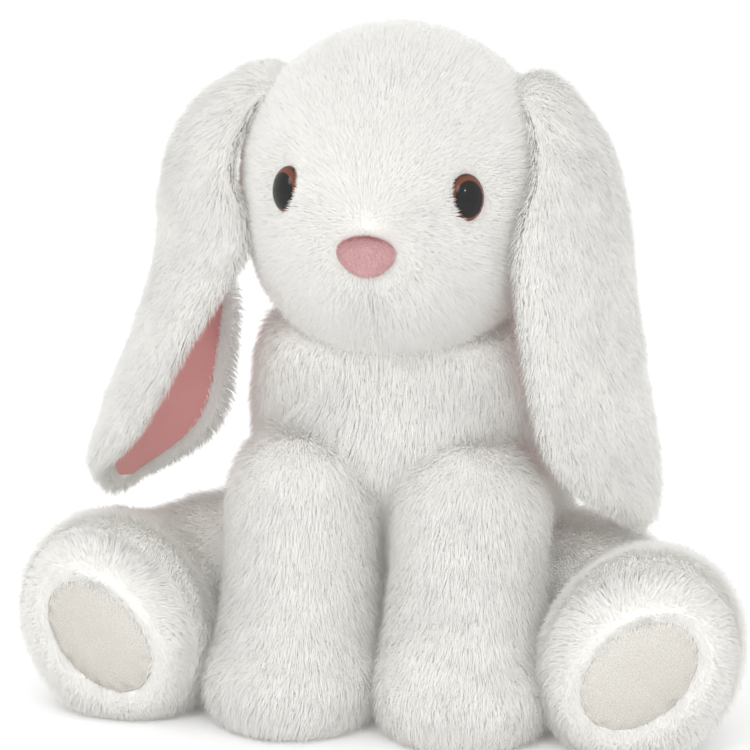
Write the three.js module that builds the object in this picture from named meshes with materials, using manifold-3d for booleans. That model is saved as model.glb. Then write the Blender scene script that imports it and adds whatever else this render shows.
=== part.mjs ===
// A sitting plush rabbit with floppy ears: sewn plush skins over fibre stuffing, with a pellet pouch,
// safety eyes, a velour nose and foot pads. Millimetres, +Z up, the rabbit faces -Y and its left is +X.
import * as THREE from 'three';
import { mergeVertices } from 'three/addons/utils/BufferGeometryUtils.js';
import Module from 'manifold-3d';

const wasm = await Module();
wasm.setup();

// ---------------------------------------------------------------- driving dimensions

const SKIN = 2; // plush backing with the roots of its pile
const SEAM_GAP = 0.3; // between pieces that are sewn or pressed together
const JOINT_GAP = 0.8; // between pieces that move past each other
const STUFFING_GAP = 2.4; // between the body's stuffing and the limbs that turn against it

const BODY_WIDTH = 122;
const BODY_DEPTH = 106;
const BODY_HEIGHT = 168; // from the seat to the top of the neck
const NECK_RADIUS = 30;
const NECK_DEPTH = 10; // how far the neck reaches up into the head
const NECK_OPENING_RADIUS = 24;
const BACK_LEAN = 41; // how far the neck stands in front of the seat

const HEAD_WIDTH = 112;
const HEAD_DEPTH = 104;
const HEAD_HEIGHT = 112;
const MUZZLE_REACH = 13;
const MUZZLE_WIDTH = 30;
const MUZZLE_HEIGHT = 26;
const MUZZLE_DROP = 23; // below the middle of the head

const EYE_WIDTH = 14.5;
const EYE_HEIGHT = 18.5;
const EYE_DOME = 6;
const EYE_SPACING = 69;
const EYE_RISE = 3.5; // above the middle of the head
const SHANK_RADIUS = 1.9;
const SHANK_LENGTH = 13;
const WASHER_RADIUS = 7;
const WASHER_THICKNESS = 1.2;
const WASHER_STANDOFF = 1.4; // the flat washer bridges the hollow side of the skin

const NOSE_WIDTH = 22;
const NOSE_HEIGHT = 16;
const NOSE_PADDING = 4;
const NOSE_DROP = 17; // below the middle of the head

const EAR_WIDTH = 76;
const EAR_THICKNESS = 4;
const EAR_LINING = 1.6;
const EAR_LAYER_GAP = 0.6; // between plush and lining, which both bend
const EAR_LINING_INSET = 5; // the white edge left all round the lining
const EAR_ROOT_WIDTH = 28;
const EAR_GROOVE_RADIUS = 5.4; // room in the head seam for the root to turn in
const EAR_ROOT_SPACING = (11 / 14) * HEAD_WIDTH;
const EAR_ROOT_STANDOFF = 1; // from the head's surface to the middle of the ear's root
const EAR_TIP_CLEARANCE = 7; // between the ear tips and the feet below them

const FRONT_LEG_RADIUS = 25;
const FRONT_LEG_SPACING = 68;
const SHOULDER_HEIGHT = 86;
const SHOULDER_FORWARD = 44;
const PAW_WIDTH = 60;
const PAW_FORWARD = 20; // in front of the shoulder
const PAW_OUTWARD = 1;

const HIP_RADIUS = 29.5;
const HIP_SPACING = 112;
const HIP_BACK = 8;
const FOOT_LENGTH = 78; // toe to heel, across the sole
const FOOT_WIDTH = 64;
const FOOT_TILT = 30; // degrees that the toes lean outwards
const FOOT_FLAT = 1.5; // how far its weight presses the foot flat
const FOOT_SPACING = 208;
const FOOT_FORWARD = 56;
const SOLE_REACH = 32; // from the middle of the foot to the sole

const PAD_LENGTH = 54;
const PAD_WIDTH = 37;
const PAD_TILT = 46; // degrees that the long way of the pad leans outwards
const PAD_THICKNESS = 1.6;

const TAIL_RADIUS = 20;
const TAIL_HEIGHT = 36;

const POUCH_WIDTH = 76;
const POUCH_DEPTH = 60;
const POUCH_HEIGHT = 20;

const LABEL_LENGTH = 20;
const LABEL_WIDTH = 13;
const LABEL_THICKNESS = 0.8;

const MIDDLE_SHIFT = -1.38; // brings the middle of the whole rabbit, paws to tail, over the origin

// ---------------------------------------------------------------- materials

function cloth(color, roughness = 0.9) {
  return new THREE.MeshStandardMaterial({ color, roughness, metalness: 0 });
}

const whitePlush = cloth(0xe9e8e2, 0.95);
const pinkLining = cloth(0xe9b4b2);
const noseVelour = cloth(0xe8a9ab);
const padVelour = cloth(0xd9d5ca);
const fibre = cloth(0xf4f4f0, 1);
const pouchCloth = cloth(0xc9c4b6);
const ribbon = cloth(0xf2f2ee, 0.6);
const eyePlastic = new THREE.MeshStandardMaterial({ color: 0x1a0f0a, roughness: 0.08, metalness: 0 });
const washerPlastic = new THREE.MeshStandardMaterial({ color: 0xdedede, roughness: 0.5, metalness: 0 });

// ---------------------------------------------------------------- solids, cuts and joins

// A closed geometry with only positions, its shared corners merged and its faces pointing outwards.
function closed(geometry) {
  geometry.deleteAttribute('normal');
  geometry.deleteAttribute('uv');
  const merged = mergeVertices(geometry, 1e-3);
  const position = merged.attributes.position;
  const index = merged.index.array;
  const [a, b, c] = [new THREE.Vector3(), new THREE.Vector3(), new THREE.Vector3()];
  let volume = 0;
  for (let i = 0; i < index.length; i += 3) {
    a.fromBufferAttribute(position, index[i]);
    b.fromBufferAttribute(position, index[i + 1]);
    c.fromBufferAttribute(position, index[i + 2]);
    volume += a.dot(b.cross(c));
  }
  if (volume < 0) {
    for (let i = 0; i < index.length; i += 3) {
      [index[i], index[i + 1]] = [index[i + 1], index[i]];
    }
  }
  return merged;
}

function solid(geometry) {
  const merged = closed(geometry);
  const mesh = new wasm.Mesh({
    numProp: 3,
    vertProperties: new Float32Array(merged.attributes.position.array),
    triVerts: new Uint32Array(merged.index.array),
  });
  return new wasm.Manifold(mesh);
}

function geometryOf(manifold) {
  const mesh = manifold.getMesh();
  const geometry = new THREE.BufferGeometry();
  geometry.setAttribute('position', new THREE.BufferAttribute(mesh.vertProperties, 3));
  geometry.setIndex(new THREE.BufferAttribute(mesh.triVerts, 1));
  return geometry;
}

// The same form with its surface moved along its own normals, outwards if the distance is positive.
// What stands on the ground keeps a flat base, raised by as much as the form shrinks.
function offset(geometry, distance) {
  const moved = closed(geometry.clone());
  moved.computeVertexNormals();
  const { position, normal } = moved.attributes;
  for (let i = 0; i < position.count; i += 1) {
    const onGround = Math.abs(position.getZ(i)) < 1e-6;
    const x = position.getX(i) + distance * normal.getX(i);
    const y = position.getY(i) + distance * normal.getY(i);
    const z = onGround ? -distance : position.getZ(i) + distance * normal.getZ(i);
    position.setXYZ(i, x, y, z);
  }
  moved.deleteAttribute('normal');
  return moved;
}

const group = new THREE.Group();
group.position.y = MIDDLE_SHIFT;

function add(name, shape, material) {
  const geometry = shape.isBufferGeometry ? closed(shape) : geometryOf(shape);
  const mesh = new THREE.Mesh(geometry, material);
  mesh.name = name;
  group.add(mesh);
}

// A sewn skin over its stuffing: an open shell and the solid core inside it, both cut by the same tools.
// The mouth cuts open the skin alone, and the pockets are cut from the core alone.
function sewn(form, { cuts = [], mouths = [], pockets = [] }) {
  let skin = solid(form.clone()).subtract(solid(offset(form, -SKIN)));
  let core = solid(offset(form, -SKIN - SEAM_GAP));
  for (const cut of cuts) {
    skin = skin.subtract(cut);
    core = core.subtract(cut);
  }
  for (const mouth of mouths) {
    skin = skin.subtract(mouth);
  }
  for (const pocket of pockets) {
    core = core.subtract(pocket);
  }
  return { skin, core };
}

// ---------------------------------------------------------------- forms

// A closed form drawn through rows of ellipses. Each row is a centre and two half-axis vectors,
// and the first and last rows are poles with no size.
function loft(rows, around) {
  const geometry = new THREE.SphereGeometry(1, around, rows.length - 1);
  const position = geometry.attributes.position;
  const point = new THREE.Vector3();
  rows.forEach((row, j) => {
    for (let i = 0; i <= around; i += 1) {
      const angle = (2 * Math.PI * (i % around)) / around;
      point.copy(row.centre);
      point.addScaledVector(row.right, Math.cos(angle));
      point.addScaledVector(row.up, Math.sin(angle));
      position.setXYZ(j * (around + 1) + i, point.x, point.y, Math.max(point.z, 0));
    }
  });
  return geometry;
}

// A level row for a form that stands up: half its width along X and half its depth along Y.
function levelRow(x, y, z, halfWidth, halfDepth = halfWidth) {
  return {
    centre: new THREE.Vector3(x, y, z),
    right: new THREE.Vector3(halfWidth, 0, 0),
    up: new THREE.Vector3(0, halfDepth, 0),
  };
}

function cylinder(radius, height, around = 24) {
  const geometry = new THREE.CylinderGeometry(radius, radius, height, around);
  geometry.rotateX(Math.PI / 2);
  return geometry;
}

function ball(radius, x, y, z, around = 20) {
  const geometry = new THREE.SphereGeometry(radius, around, Math.round(around * 0.7));
  geometry.rotateX(Math.PI / 2);
  geometry.translate(x, y, z);
  return geometry;
}

function smooth(from, to, value) {
  return THREE.MathUtils.smoothstep(value, from, to);
}

// ---------------------------------------------------------------- head

const neckY = -BACK_LEAN / 2 - 2.5;
const seatY = neckY + BACK_LEAN;
const headBottom = BODY_HEIGHT - NECK_DEPTH;
const headMiddle = new THREE.Vector3(0, neckY, headBottom + HEAD_HEIGHT / 2);

function muzzle(x, z) {
  const across = x / MUZZLE_WIDTH;
  const up = (z - headMiddle.z + MUZZLE_DROP) / MUZZLE_HEIGHT;
  return MUZZLE_REACH * Math.exp(-across * across - up * up);
}

// The Y of the face at a given X and Z.
function faceY(x, z) {
  const across = (2 * x) / HEAD_WIDTH;
  const up = (2 * (z - headMiddle.z)) / HEAD_HEIGHT;
  const bulge = Math.sqrt(Math.max(0, 1 - across * across - up * up));
  return headMiddle.y - (bulge * HEAD_DEPTH) / 2 - muzzle(x, z) * smooth(0, 0.5, bulge);
}

function headForm() {
  const geometry = new THREE.SphereGeometry(1, 22, 14);
  geometry.rotateX(Math.PI / 2);
  const position = geometry.attributes.position;
  for (let i = 0; i < position.count; i += 1) {
    const forward = -position.getY(i);
    const x = (position.getX(i) * HEAD_WIDTH) / 2;
    const z = headMiddle.z + (position.getZ(i) * HEAD_HEIGHT) / 2;
    const y = headMiddle.y - (forward * HEAD_DEPTH) / 2 - muzzle(x, z) * smooth(0, 0.5, forward);
    position.setXYZ(i, x, y, z);
  }
  return geometry;
}

// Places a piece that is made along +Z on the face, pointing straight out of it.
function onFace(geometry, x, z) {
  const step = 1;
  const slopeX = (faceY(x + step, z) - faceY(x - step, z)) / (2 * step);
  const slopeZ = (faceY(x, z + step) - faceY(x, z - step)) / (2 * step);
  const outward = new THREE.Vector3(slopeX, -1, slopeZ).normalize();
  const sideways = new THREE.Vector3(0, 0, 1).cross(outward).normalize();
  const upward = new THREE.Vector3().crossVectors(outward, sideways);
  const matrix = new THREE.Matrix4().makeBasis(sideways, upward, outward);
  matrix.setPosition(x, faceY(x, z), z);
  geometry.applyMatrix4(matrix);
  return geometry;
}

const eyeZ = headMiddle.z + EYE_RISE;
const noseZ = headMiddle.z - NOSE_DROP;

function eye(x) {
  const steps = 5;
  const profile = [new THREE.Vector2(0, SEAM_GAP)];
  for (let i = 0; i <= steps; i += 1) {
    const angle = (i * Math.PI) / 2 / steps;
    const radius = i === steps ? 0 : (Math.cos(angle) * EYE_HEIGHT) / 2;
    profile.push(new THREE.Vector2(radius, SEAM_GAP + 1 + Math.sin(angle) * (EYE_DOME - 1)));
  }
  profile.splice(1, 0, new THREE.Vector2(EYE_HEIGHT / 2 - 0.4, SEAM_GAP));
  const dome = new THREE.LatheGeometry(profile, 18);
  dome.rotateX(Math.PI / 2);
  dome.scale(EYE_WIDTH / EYE_HEIGHT, 1, 1);
  const shank = cylinder(SHANK_RADIUS, SHANK_LENGTH, 12);
  shank.translate(0, 0, 1 - SHANK_LENGTH / 2);
  return solid(onFace(dome, x, eyeZ)).add(solid(onFace(shank, x, eyeZ)));
}

const washerDepth = SKIN + SEAM_GAP + WASHER_STANDOFF;

function washer(x) {
  const low = -washerDepth - WASHER_THICKNESS;
  const inner = SHANK_RADIUS + SEAM_GAP;
  const profile = [
    new THREE.Vector2(inner, low),
    new THREE.Vector2(WASHER_RADIUS, low),
    new THREE.Vector2(WASHER_RADIUS, -washerDepth),
    new THREE.Vector2(inner, -washerDepth),
    new THREE.Vector2(inner, low),
  ];
  const ring = new THREE.LatheGeometry(profile, 16);
  ring.rotateX(Math.PI / 2);
  return onFace(ring, x, eyeZ);
}

function shankHole(x) {
  const hole = cylinder(SHANK_RADIUS + SEAM_GAP, SHANK_LENGTH + 10, 12);
  hole.translate(0, 0, 5 + 1 - SHANK_LENGTH / 2 - SEAM_GAP);
  return solid(onFace(hole, x, eyeZ));
}

function washerPocket(x) {
  const depth = washerDepth + WASHER_THICKNESS + SEAM_GAP;
  const pocket = cylinder(WASHER_RADIUS + SEAM_GAP, depth + 4, 16);
  pocket.translate(0, 0, 2 - depth / 2);
  return solid(onFace(pocket, x, eyeZ));
}

function noseForm() {
  const geometry = new THREE.SphereGeometry(1, 16, 8);
  const position = geometry.attributes.position;
  for (let i = 0; i < position.count; i += 1) {
    const up = position.getY(i);
    const taper = 1 + 0.22 * up;
    const x = (position.getX(i) * taper * NOSE_WIDTH) / 2;
    position.setXYZ(i, x, (up * NOSE_HEIGHT) / 2, position.getZ(i) * NOSE_PADDING);
  }
  return onFace(geometry, 0, noseZ);
}

// ---------------------------------------------------------------- ears

const footTilt = THREE.MathUtils.degToRad(FOOT_TILT);
const footHalfHeight = Math.hypot(FOOT_LENGTH * Math.cos(footTilt), FOOT_WIDTH * Math.sin(footTilt)) / 2;
const footRise = footHalfHeight - FOOT_FLAT;
const footTop = footRise + footHalfHeight;

const earRootRise = (HEAD_HEIGHT / 2) * Math.sqrt(1 - (EAR_ROOT_SPACING / HEAD_WIDTH) ** 2);
const earRootZ = headMiddle.z + earRootRise + EAR_ROOT_STANDOFF;
const earRootY = neckY + 4;
const earTipZ = footTop + EAR_TIP_CLEARANCE;
const EAR_ROWS = 15;

// How each ear hangs: how far its middle and its tip stand out past its root, and in even steps
// from root to tip the turn of its front edge, inwards if positive, and the radius it cups to.
const earHang = {
  left: {
    side: 1,
    midOut: 36,
    tipOut: 54,
    turns: [0, 14, 20, 20, 18, 15],
    cups: [26, 45, 55, 50, 46, 46],
  },
  right: {
    side: -1,
    midOut: 46,
    tipOut: 76,
    turns: [0, 24, 34, -4, -22, -34],
    cups: [26, 50, 46, 33, 29, 33],
  },
};

function earPath({ midOut, tipOut }) {
  const root = EAR_ROOT_SPACING / 2;
  const drop = earRootZ - earTipZ;
  return new THREE.CatmullRomCurve3([
    new THREE.Vector3(root, earRootY, earRootZ),
    new THREE.Vector3(root + 10, earRootY, earRootZ + 3),
    new THREE.Vector3(root + 0.6 * midOut, earRootY - 3, earRootZ - 0.05 * drop),
    new THREE.Vector3(root + 0.88 * midOut, earRootY - 7, earRootZ - 0.16 * drop),
    new THREE.Vector3(root + midOut, earRootY - 9, earRootZ - 0.34 * drop),
    new THREE.Vector3(root + 0.75 * midOut + 0.25 * tipOut, earRootY - 9, earRootZ - 0.54 * drop),
    new THREE.Vector3(root + 0.35 * midOut + 0.65 * tipOut, earRootY - 6, earRootZ - 0.77 * drop),
    new THREE.Vector3(root + tipOut, earRootY, earTipZ),
  ]);
}

function between(values, at) {
  const place = THREE.MathUtils.clamp(at, 0, 1) * (values.length - 1);
  const step = Math.min(Math.floor(place), values.length - 2);
  return THREE.MathUtils.lerp(values[step], values[step + 1], place - step);
}

function earHalfWidth(along, inset) {
  const rounded = Math.sqrt(1 - Math.pow(smooth(0, 1, (along - 0.7) / 0.3), 2) * 0.93);
  const swell = THREE.MathUtils.lerp(EAR_ROOT_WIDTH, EAR_WIDTH, smooth(0, 0.42, along));
  return (swell / 2) * rounded - inset;
}

// A sheet of the ear between two depths, counted outwards from the middle of the plush.
function earSheet(hang, { low, high, firstRow, lastRow, inset }) {
  const widthSteps = 5;
  const path = earPath(hang);
  const geometry = new THREE.BoxGeometry(2, 1, 1, widthSteps, lastRow - firstRow, 1);
  const position = geometry.attributes.position;
  const front = new THREE.Vector3(0, -1, 0);
  const across = new THREE.Vector3();
  const outward = new THREE.Vector3();
  for (let i = 0; i < position.count; i += 1) {
    const row = THREE.MathUtils.lerp(firstRow, lastRow, position.getY(i) + 0.5);
    const along = Math.sin(((row / EAR_ROWS) * Math.PI) / 2);
    const tangent = path.getTangentAt(along);
    const turn = THREE.MathUtils.degToRad(between(hang.turns, along));
    across.crossVectors(tangent, front).multiplyScalar(Math.sin(turn));
    across.addScaledVector(front, Math.cos(turn)).normalize();
    outward.crossVectors(across, tangent).normalize();
    const cup = between(hang.cups, along);
    const bend = (position.getX(i) * earHalfWidth(along, inset)) / cup;
    const height = THREE.MathUtils.lerp(low, high, position.getZ(i) + 0.5);
    const point = path.getPointAt(along);
    point.addScaledVector(across, (cup + height) * Math.sin(bend));
    point.addScaledVector(outward, (cup + height) * Math.cos(bend) - cup);
    position.setXYZ(i, hang.side * point.x, point.y, point.z);
  }
  return geometry;
}

function earGroove(side) {
  const groove = cylinder(EAR_GROOVE_RADIUS, EAR_ROOT_WIDTH + 4, 16);
  groove.rotateX(Math.PI / 2);
  groove.translate((side * EAR_ROOT_SPACING) / 2, earRootY, earRootZ);
  return solid(groove);
}

for (const [name, hang] of Object.entries(earHang)) {
  const half = EAR_THICKNESS / 2;
  const layers = -half - EAR_LAYER_GAP;
  const whole = { firstRow: 0, lastRow: EAR_ROWS, inset: 0 };
  const inside = { firstRow: 1, lastRow: EAR_ROWS - 2, inset: EAR_LINING_INSET };
  const plush = earSheet(hang, { low: -half, high: half, ...whole });
  const plushSide = solid(earSheet(hang, { low: layers, high: half, ...whole }));
  const lining = solid(earSheet(hang, { low: layers - EAR_LINING, high: 0, ...inside }));
  add(`ear_${name}_plush`, plush, whitePlush);
  add(`ear_${name}_lining`, lining.subtract(plushSide), pinkLining);
}

// ---------------------------------------------------------------- front legs

const shoulderY = -SHOULDER_FORWARD;

function frontLegForm(side) {
  const x = (side * FRONT_LEG_SPACING) / 2;
  const pawX = x + side * PAW_OUTWARD;
  const pawY = shoulderY - PAW_FORWARD;
  const rows = [levelRow(x, shoulderY, SHOULDER_HEIGHT + FRONT_LEG_RADIUS, 0)];
  for (const degrees of [25, 48, 70, 90]) {
    const angle = THREE.MathUtils.degToRad(degrees);
    const rise = FRONT_LEG_RADIUS * Math.cos(angle);
    rows.push(levelRow(x, shoulderY, SHOULDER_HEIGHT + rise, FRONT_LEG_RADIUS * Math.sin(angle)));
  }
  const pawHalf = PAW_WIDTH / 2;
  const slim = 0.97 * FRONT_LEG_RADIUS;
  rows.push(levelRow(x, shoulderY - 0.2 * PAW_FORWARD, 0.77 * SHOULDER_HEIGHT, slim));
  rows.push(levelRow(x, shoulderY - 0.45 * PAW_FORWARD, 0.55 * SHOULDER_HEIGHT, slim + 1));
  rows.push(levelRow((x + pawX) / 2, shoulderY - 0.75 * PAW_FORWARD, 0.37 * SHOULDER_HEIGHT, 0.9 * pawHalf));
  rows.push(levelRow(pawX, pawY, 0.23 * SHOULDER_HEIGHT, pawHalf));
  rows.push(levelRow(pawX, pawY, 0.11 * SHOULDER_HEIGHT, 0.97 * pawHalf));
  rows.push(levelRow(pawX, pawY, 0.035 * SHOULDER_HEIGHT, 0.86 * pawHalf));
  rows.push(levelRow(pawX, pawY, 0, 0.72 * pawHalf));
  rows.push(levelRow(pawX, pawY, 0, 0));
  return loft(rows, 14);
}

const frontLegs = {};
for (const [name, side] of [['left', 1], ['right', -1]]) {
  const form = frontLegForm(side);
  const x = (side * FRONT_LEG_SPACING) / 2;
  const mouth = ball(0.55 * FRONT_LEG_RADIUS, x, shoulderY + FRONT_LEG_RADIUS, SHOULDER_HEIGHT, 10);
  const { skin, core } = sewn(form, { mouths: [solid(mouth)] });
  add(`front_leg_${name}_skin`, skin, whitePlush);
  add(`front_leg_${name}_stuffing`, core, fibre);
  frontLegs[name] = form;
}

// ---------------------------------------------------------------- hind legs and foot pads

// From the middle of the hip to the middle of the sole.
function hindLegPath(side) {
  const hip = new THREE.Vector3((side * HIP_SPACING) / 2, HIP_BACK, footRise);
  const foot = new THREE.Vector3((side * FOOT_SPACING) / 2, -FOOT_FORWARD, footRise);
  const knee = new THREE.Vector3().lerpVectors(hip, foot, 0.5);
  knee.x += side * 9;
  const sole = foot.clone();
  sole.x += side * 5;
  sole.y -= SOLE_REACH;
  return new THREE.CatmullRomCurve3([hip, knee, foot, sole], false, 'centripetal');
}

// A row across the hind leg, half as long and half as wide as given, its long way tilted outwards.
function hindLegRow(centre, tangent, side, degrees, long, wide) {
  const tilt = THREE.MathUtils.degToRad(degrees);
  const upright = new THREE.Vector3(0, 0, 1);
  const outward = new THREE.Vector3().crossVectors(upright, tangent).normalize().multiplyScalar(side);
  const right = upright.clone().multiplyScalar(Math.cos(tilt)).addScaledVector(outward, Math.sin(tilt));
  const up = upright.clone().multiplyScalar(-Math.sin(tilt)).addScaledVector(outward, Math.cos(tilt));
  return { centre, right: right.multiplyScalar(long), up: up.multiplyScalar(wide) };
}

function hindLegForm(side) {
  const path = hindLegPath(side);
  const hip = path.getPoint(0);
  const out = path.getTangent(0);
  const rows = [];
  for (const degrees of [0, 24, 46, 68, 90]) {
    const angle = THREE.MathUtils.degToRad(degrees);
    const centre = hip.clone().addScaledVector(out, -HIP_RADIUS * Math.cos(angle));
    const radius = HIP_RADIUS * Math.sin(angle);
    rows.push(hindLegRow(centre, out, side, FOOT_TILT, radius, radius));
  }
  const shares = [[0.2, 0.82], [0.36, 0.74], [0.5, 0.8], [0.64, 0.93], [0.75, 1], [0.86, 0.96], [0.95, 0.85]];
  for (const [at, share] of [...shares, [0.99, 0.68], [1, 0.42], [1, 0]]) {
    const long = (share * FOOT_LENGTH) / 2;
    const wide = (share * FOOT_WIDTH) / 2;
    rows.push(hindLegRow(path.getPoint(at), path.getTangent(at), side, FOOT_TILT, long, wide));
  }
  return loft(rows, 16);
}

function footPad(side, form) {
  const path = hindLegPath(side);
  const { centre, right, up } = hindLegRow(path.getPoint(1), path.getTangent(1), side, PAD_TILT, 1, 1);
  const outline = new THREE.Shape();
  outline.absellipse(0, 0, PAD_LENGTH / 2, PAD_WIDTH / 2, 0, 2 * Math.PI);
  const prism = new THREE.ExtrudeGeometry(outline, { depth: 36, bevelEnabled: false, curveSegments: 20 });
  prism.translate(0, 0, -18);
  const matrix = new THREE.Matrix4().makeBasis(right, up, new THREE.Vector3().crossVectors(right, up));
  matrix.setPosition(centre);
  prism.applyMatrix4(matrix);
  const cover = solid(offset(form, SEAM_GAP + PAD_THICKNESS));
  return cover.intersect(solid(prism)).subtract(solid(offset(form, SEAM_GAP)));
}

const hindLegs = {};
for (const [name, side] of [['left', 1], ['right', -1]]) {
  const form = hindLegForm(side);
  const mouth = ball(0.5 * HIP_RADIUS, side * (HIP_SPACING / 2 - HIP_RADIUS), HIP_BACK, footRise, 10);
  const { skin, core } = sewn(form, { mouths: [solid(mouth)] });
  add(`hind_leg_${name}_skin`, skin, whitePlush);
  add(`hind_leg_${name}_stuffing`, core, fibre);
  add(`foot_pad_${name}`, footPad(side, form), padVelour);
  hindLegs[name] = form;
}

// ---------------------------------------------------------------- body, pouch, tail and label

const shoulderTop = BODY_HEIGHT - NECK_DEPTH;

function bodyForm() {
  const halfWidth = BODY_WIDTH / 2;
  const halfDepth = BODY_DEPTH / 2;
  const lean = (share) => THREE.MathUtils.lerp(seatY, neckY, share);
  return loft([
    levelRow(0, seatY, 0, 0, 0),
    levelRow(0, seatY, 0, 0.72 * halfWidth, 0.7 * halfDepth),
    levelRow(0, seatY, 0.03 * shoulderTop, 0.9 * halfWidth, 0.88 * halfDepth),
    levelRow(0, seatY, 0.12 * shoulderTop, 0.99 * halfWidth, 0.98 * halfDepth),
    levelRow(0, seatY, 0.27 * shoulderTop, halfWidth, halfDepth),
    levelRow(0, lean(0.14), 0.44 * shoulderTop, 0.93 * halfWidth, 0.9 * halfDepth),
    levelRow(0, lean(0.38), 0.62 * shoulderTop, 0.83 * halfWidth, 0.77 * halfDepth),
    levelRow(0, lean(0.66), 0.79 * shoulderTop, 0.75 * halfWidth, 0.67 * halfDepth),
    levelRow(0, lean(0.88), 0.91 * shoulderTop, 0.67 * halfWidth, 0.61 * halfDepth),
    levelRow(0, lean(0.98), 0.97 * shoulderTop, 0.57 * halfWidth, 0.58 * halfDepth),
    levelRow(0, neckY, shoulderTop, NECK_RADIUS, NECK_RADIUS),
    levelRow(0, neckY, BODY_HEIGHT, NECK_RADIUS, NECK_RADIUS),
    levelRow(0, neckY, BODY_HEIGHT, 0, 0),
  ], 20);
}

// The pouch lies on the skin's floor, or with some room added it is the pocket for it in the stuffing.
function pouchForm(room = 0) {
  const floor = SKIN + SEAM_GAP;
  const geometry = new THREE.SphereGeometry(1, 14, 8);
  geometry.rotateX(Math.PI / 2);
  geometry.scale(POUCH_WIDTH / 2 + room, POUCH_DEPTH / 2 + room, 0.75 * POUCH_HEIGHT + room);
  geometry.translate(0, seatY, 0.25 * POUCH_HEIGHT);
  const position = geometry.attributes.position;
  for (let i = 0; i < position.count; i += 1) {
    const above = position.getZ(i);
    const bottom = room > 0 ? 0 : floor;
    position.setZ(i, above > 0 ? floor + above : bottom);
  }
  return geometry;
}

const body = bodyForm();
const neckMouth = cylinder(NECK_OPENING_RADIUS, 12);
neckMouth.translate(0, neckY, BODY_HEIGHT);
const limbs = [...Object.values(frontLegs), ...Object.values(hindLegs)];
const torso = sewn(body, {
  cuts: limbs.map((limb) => solid(offset(limb, JOINT_GAP))),
  mouths: [solid(neckMouth)],
  pockets: [...limbs.map((limb) => solid(offset(limb, STUFFING_GAP))), solid(pouchForm(2 * SEAM_GAP))],
});
add('body_skin', torso.skin, whitePlush);
add('body_stuffing', torso.core, fibre);
add('bean_pouch', pouchForm(), pouchCloth);

const besideBody = solid(offset(body, SEAM_GAP));
const tailY = seatY + BODY_DEPTH / 2 + 0.25 * TAIL_RADIUS;
const tail = sewn(ball(TAIL_RADIUS, 0, tailY, TAIL_HEIGHT, 12), { cuts: [besideBody] });
add('tail_skin', tail.skin, whitePlush);
add('tail_stuffing', tail.core, fibre);

const label = new THREE.BoxGeometry(LABEL_THICKNESS, 2 * LABEL_WIDTH, LABEL_LENGTH);
const labelX = 0.5 * (BODY_WIDTH / 2);
label.translate(labelX, seatY + 0.86 * (BODY_DEPTH / 2), 1.6 * LABEL_LENGTH);
add('care_label', solid(label).subtract(besideBody), ribbon);

// ---------------------------------------------------------------- head pieces

const head = headForm();
const neckSocket = cylinder(NECK_RADIUS + JOINT_GAP, 2 * NECK_DEPTH + 2 * JOINT_GAP, 24);
neckSocket.translate(0, neckY, headBottom);
const headCuts = [solid(neckSocket), earGroove(1), earGroove(-1)];
const eyePlaces = [['left', EYE_SPACING / 2], ['right', -EYE_SPACING / 2]];
const shankHoles = eyePlaces.map(([, x]) => shankHole(x));
const washerPockets = eyePlaces.map(([, x]) => washerPocket(x));
const skull = sewn(head, { cuts: [...headCuts, ...shankHoles], pockets: washerPockets });
add('head_skin', skull.skin, whitePlush);
add('head_stuffing', skull.core, fibre);
for (const [name, x] of eyePlaces) {
  add(`eye_${name}`, eye(x), eyePlastic);
  add(`eye_washer_${name}`, washer(x), washerPlastic);
}
add('nose', solid(noseForm()).subtract(solid(offset(head, SEAM_GAP))), noseVelour);

export default group;
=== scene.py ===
"""A sitting plush rabbit with floppy ears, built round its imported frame. Sizes are in millimetres and angles in
degrees until a mesh is made, which is in metres. Z is up, the rabbit faces -Y and its own left is +X."""

import math

import bmesh
import bpy
import numpy as np
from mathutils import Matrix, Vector
from mathutils.bvhtree import BVHTree


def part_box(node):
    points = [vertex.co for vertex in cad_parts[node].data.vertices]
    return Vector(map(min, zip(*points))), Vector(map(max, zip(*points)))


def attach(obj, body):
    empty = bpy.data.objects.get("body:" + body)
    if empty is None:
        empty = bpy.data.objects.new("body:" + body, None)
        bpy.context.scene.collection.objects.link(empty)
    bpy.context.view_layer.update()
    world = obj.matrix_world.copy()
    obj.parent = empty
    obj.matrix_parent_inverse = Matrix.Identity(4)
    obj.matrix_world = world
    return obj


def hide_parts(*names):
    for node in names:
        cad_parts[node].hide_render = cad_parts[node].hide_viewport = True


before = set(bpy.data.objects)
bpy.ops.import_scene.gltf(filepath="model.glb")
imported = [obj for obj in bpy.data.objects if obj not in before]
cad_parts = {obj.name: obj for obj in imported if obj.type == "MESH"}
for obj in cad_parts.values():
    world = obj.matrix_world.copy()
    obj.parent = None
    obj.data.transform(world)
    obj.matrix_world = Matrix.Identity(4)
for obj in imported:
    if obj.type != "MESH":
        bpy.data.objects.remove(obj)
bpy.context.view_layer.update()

# ---------------------------------------------------------------- the table and its light
# A pale matt table that runs out of sight under an even white tent, a broad soft lamp over the camera
# and a smaller one to its right, which puts the small bright spot in each eye.

MM = 0.001


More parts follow.
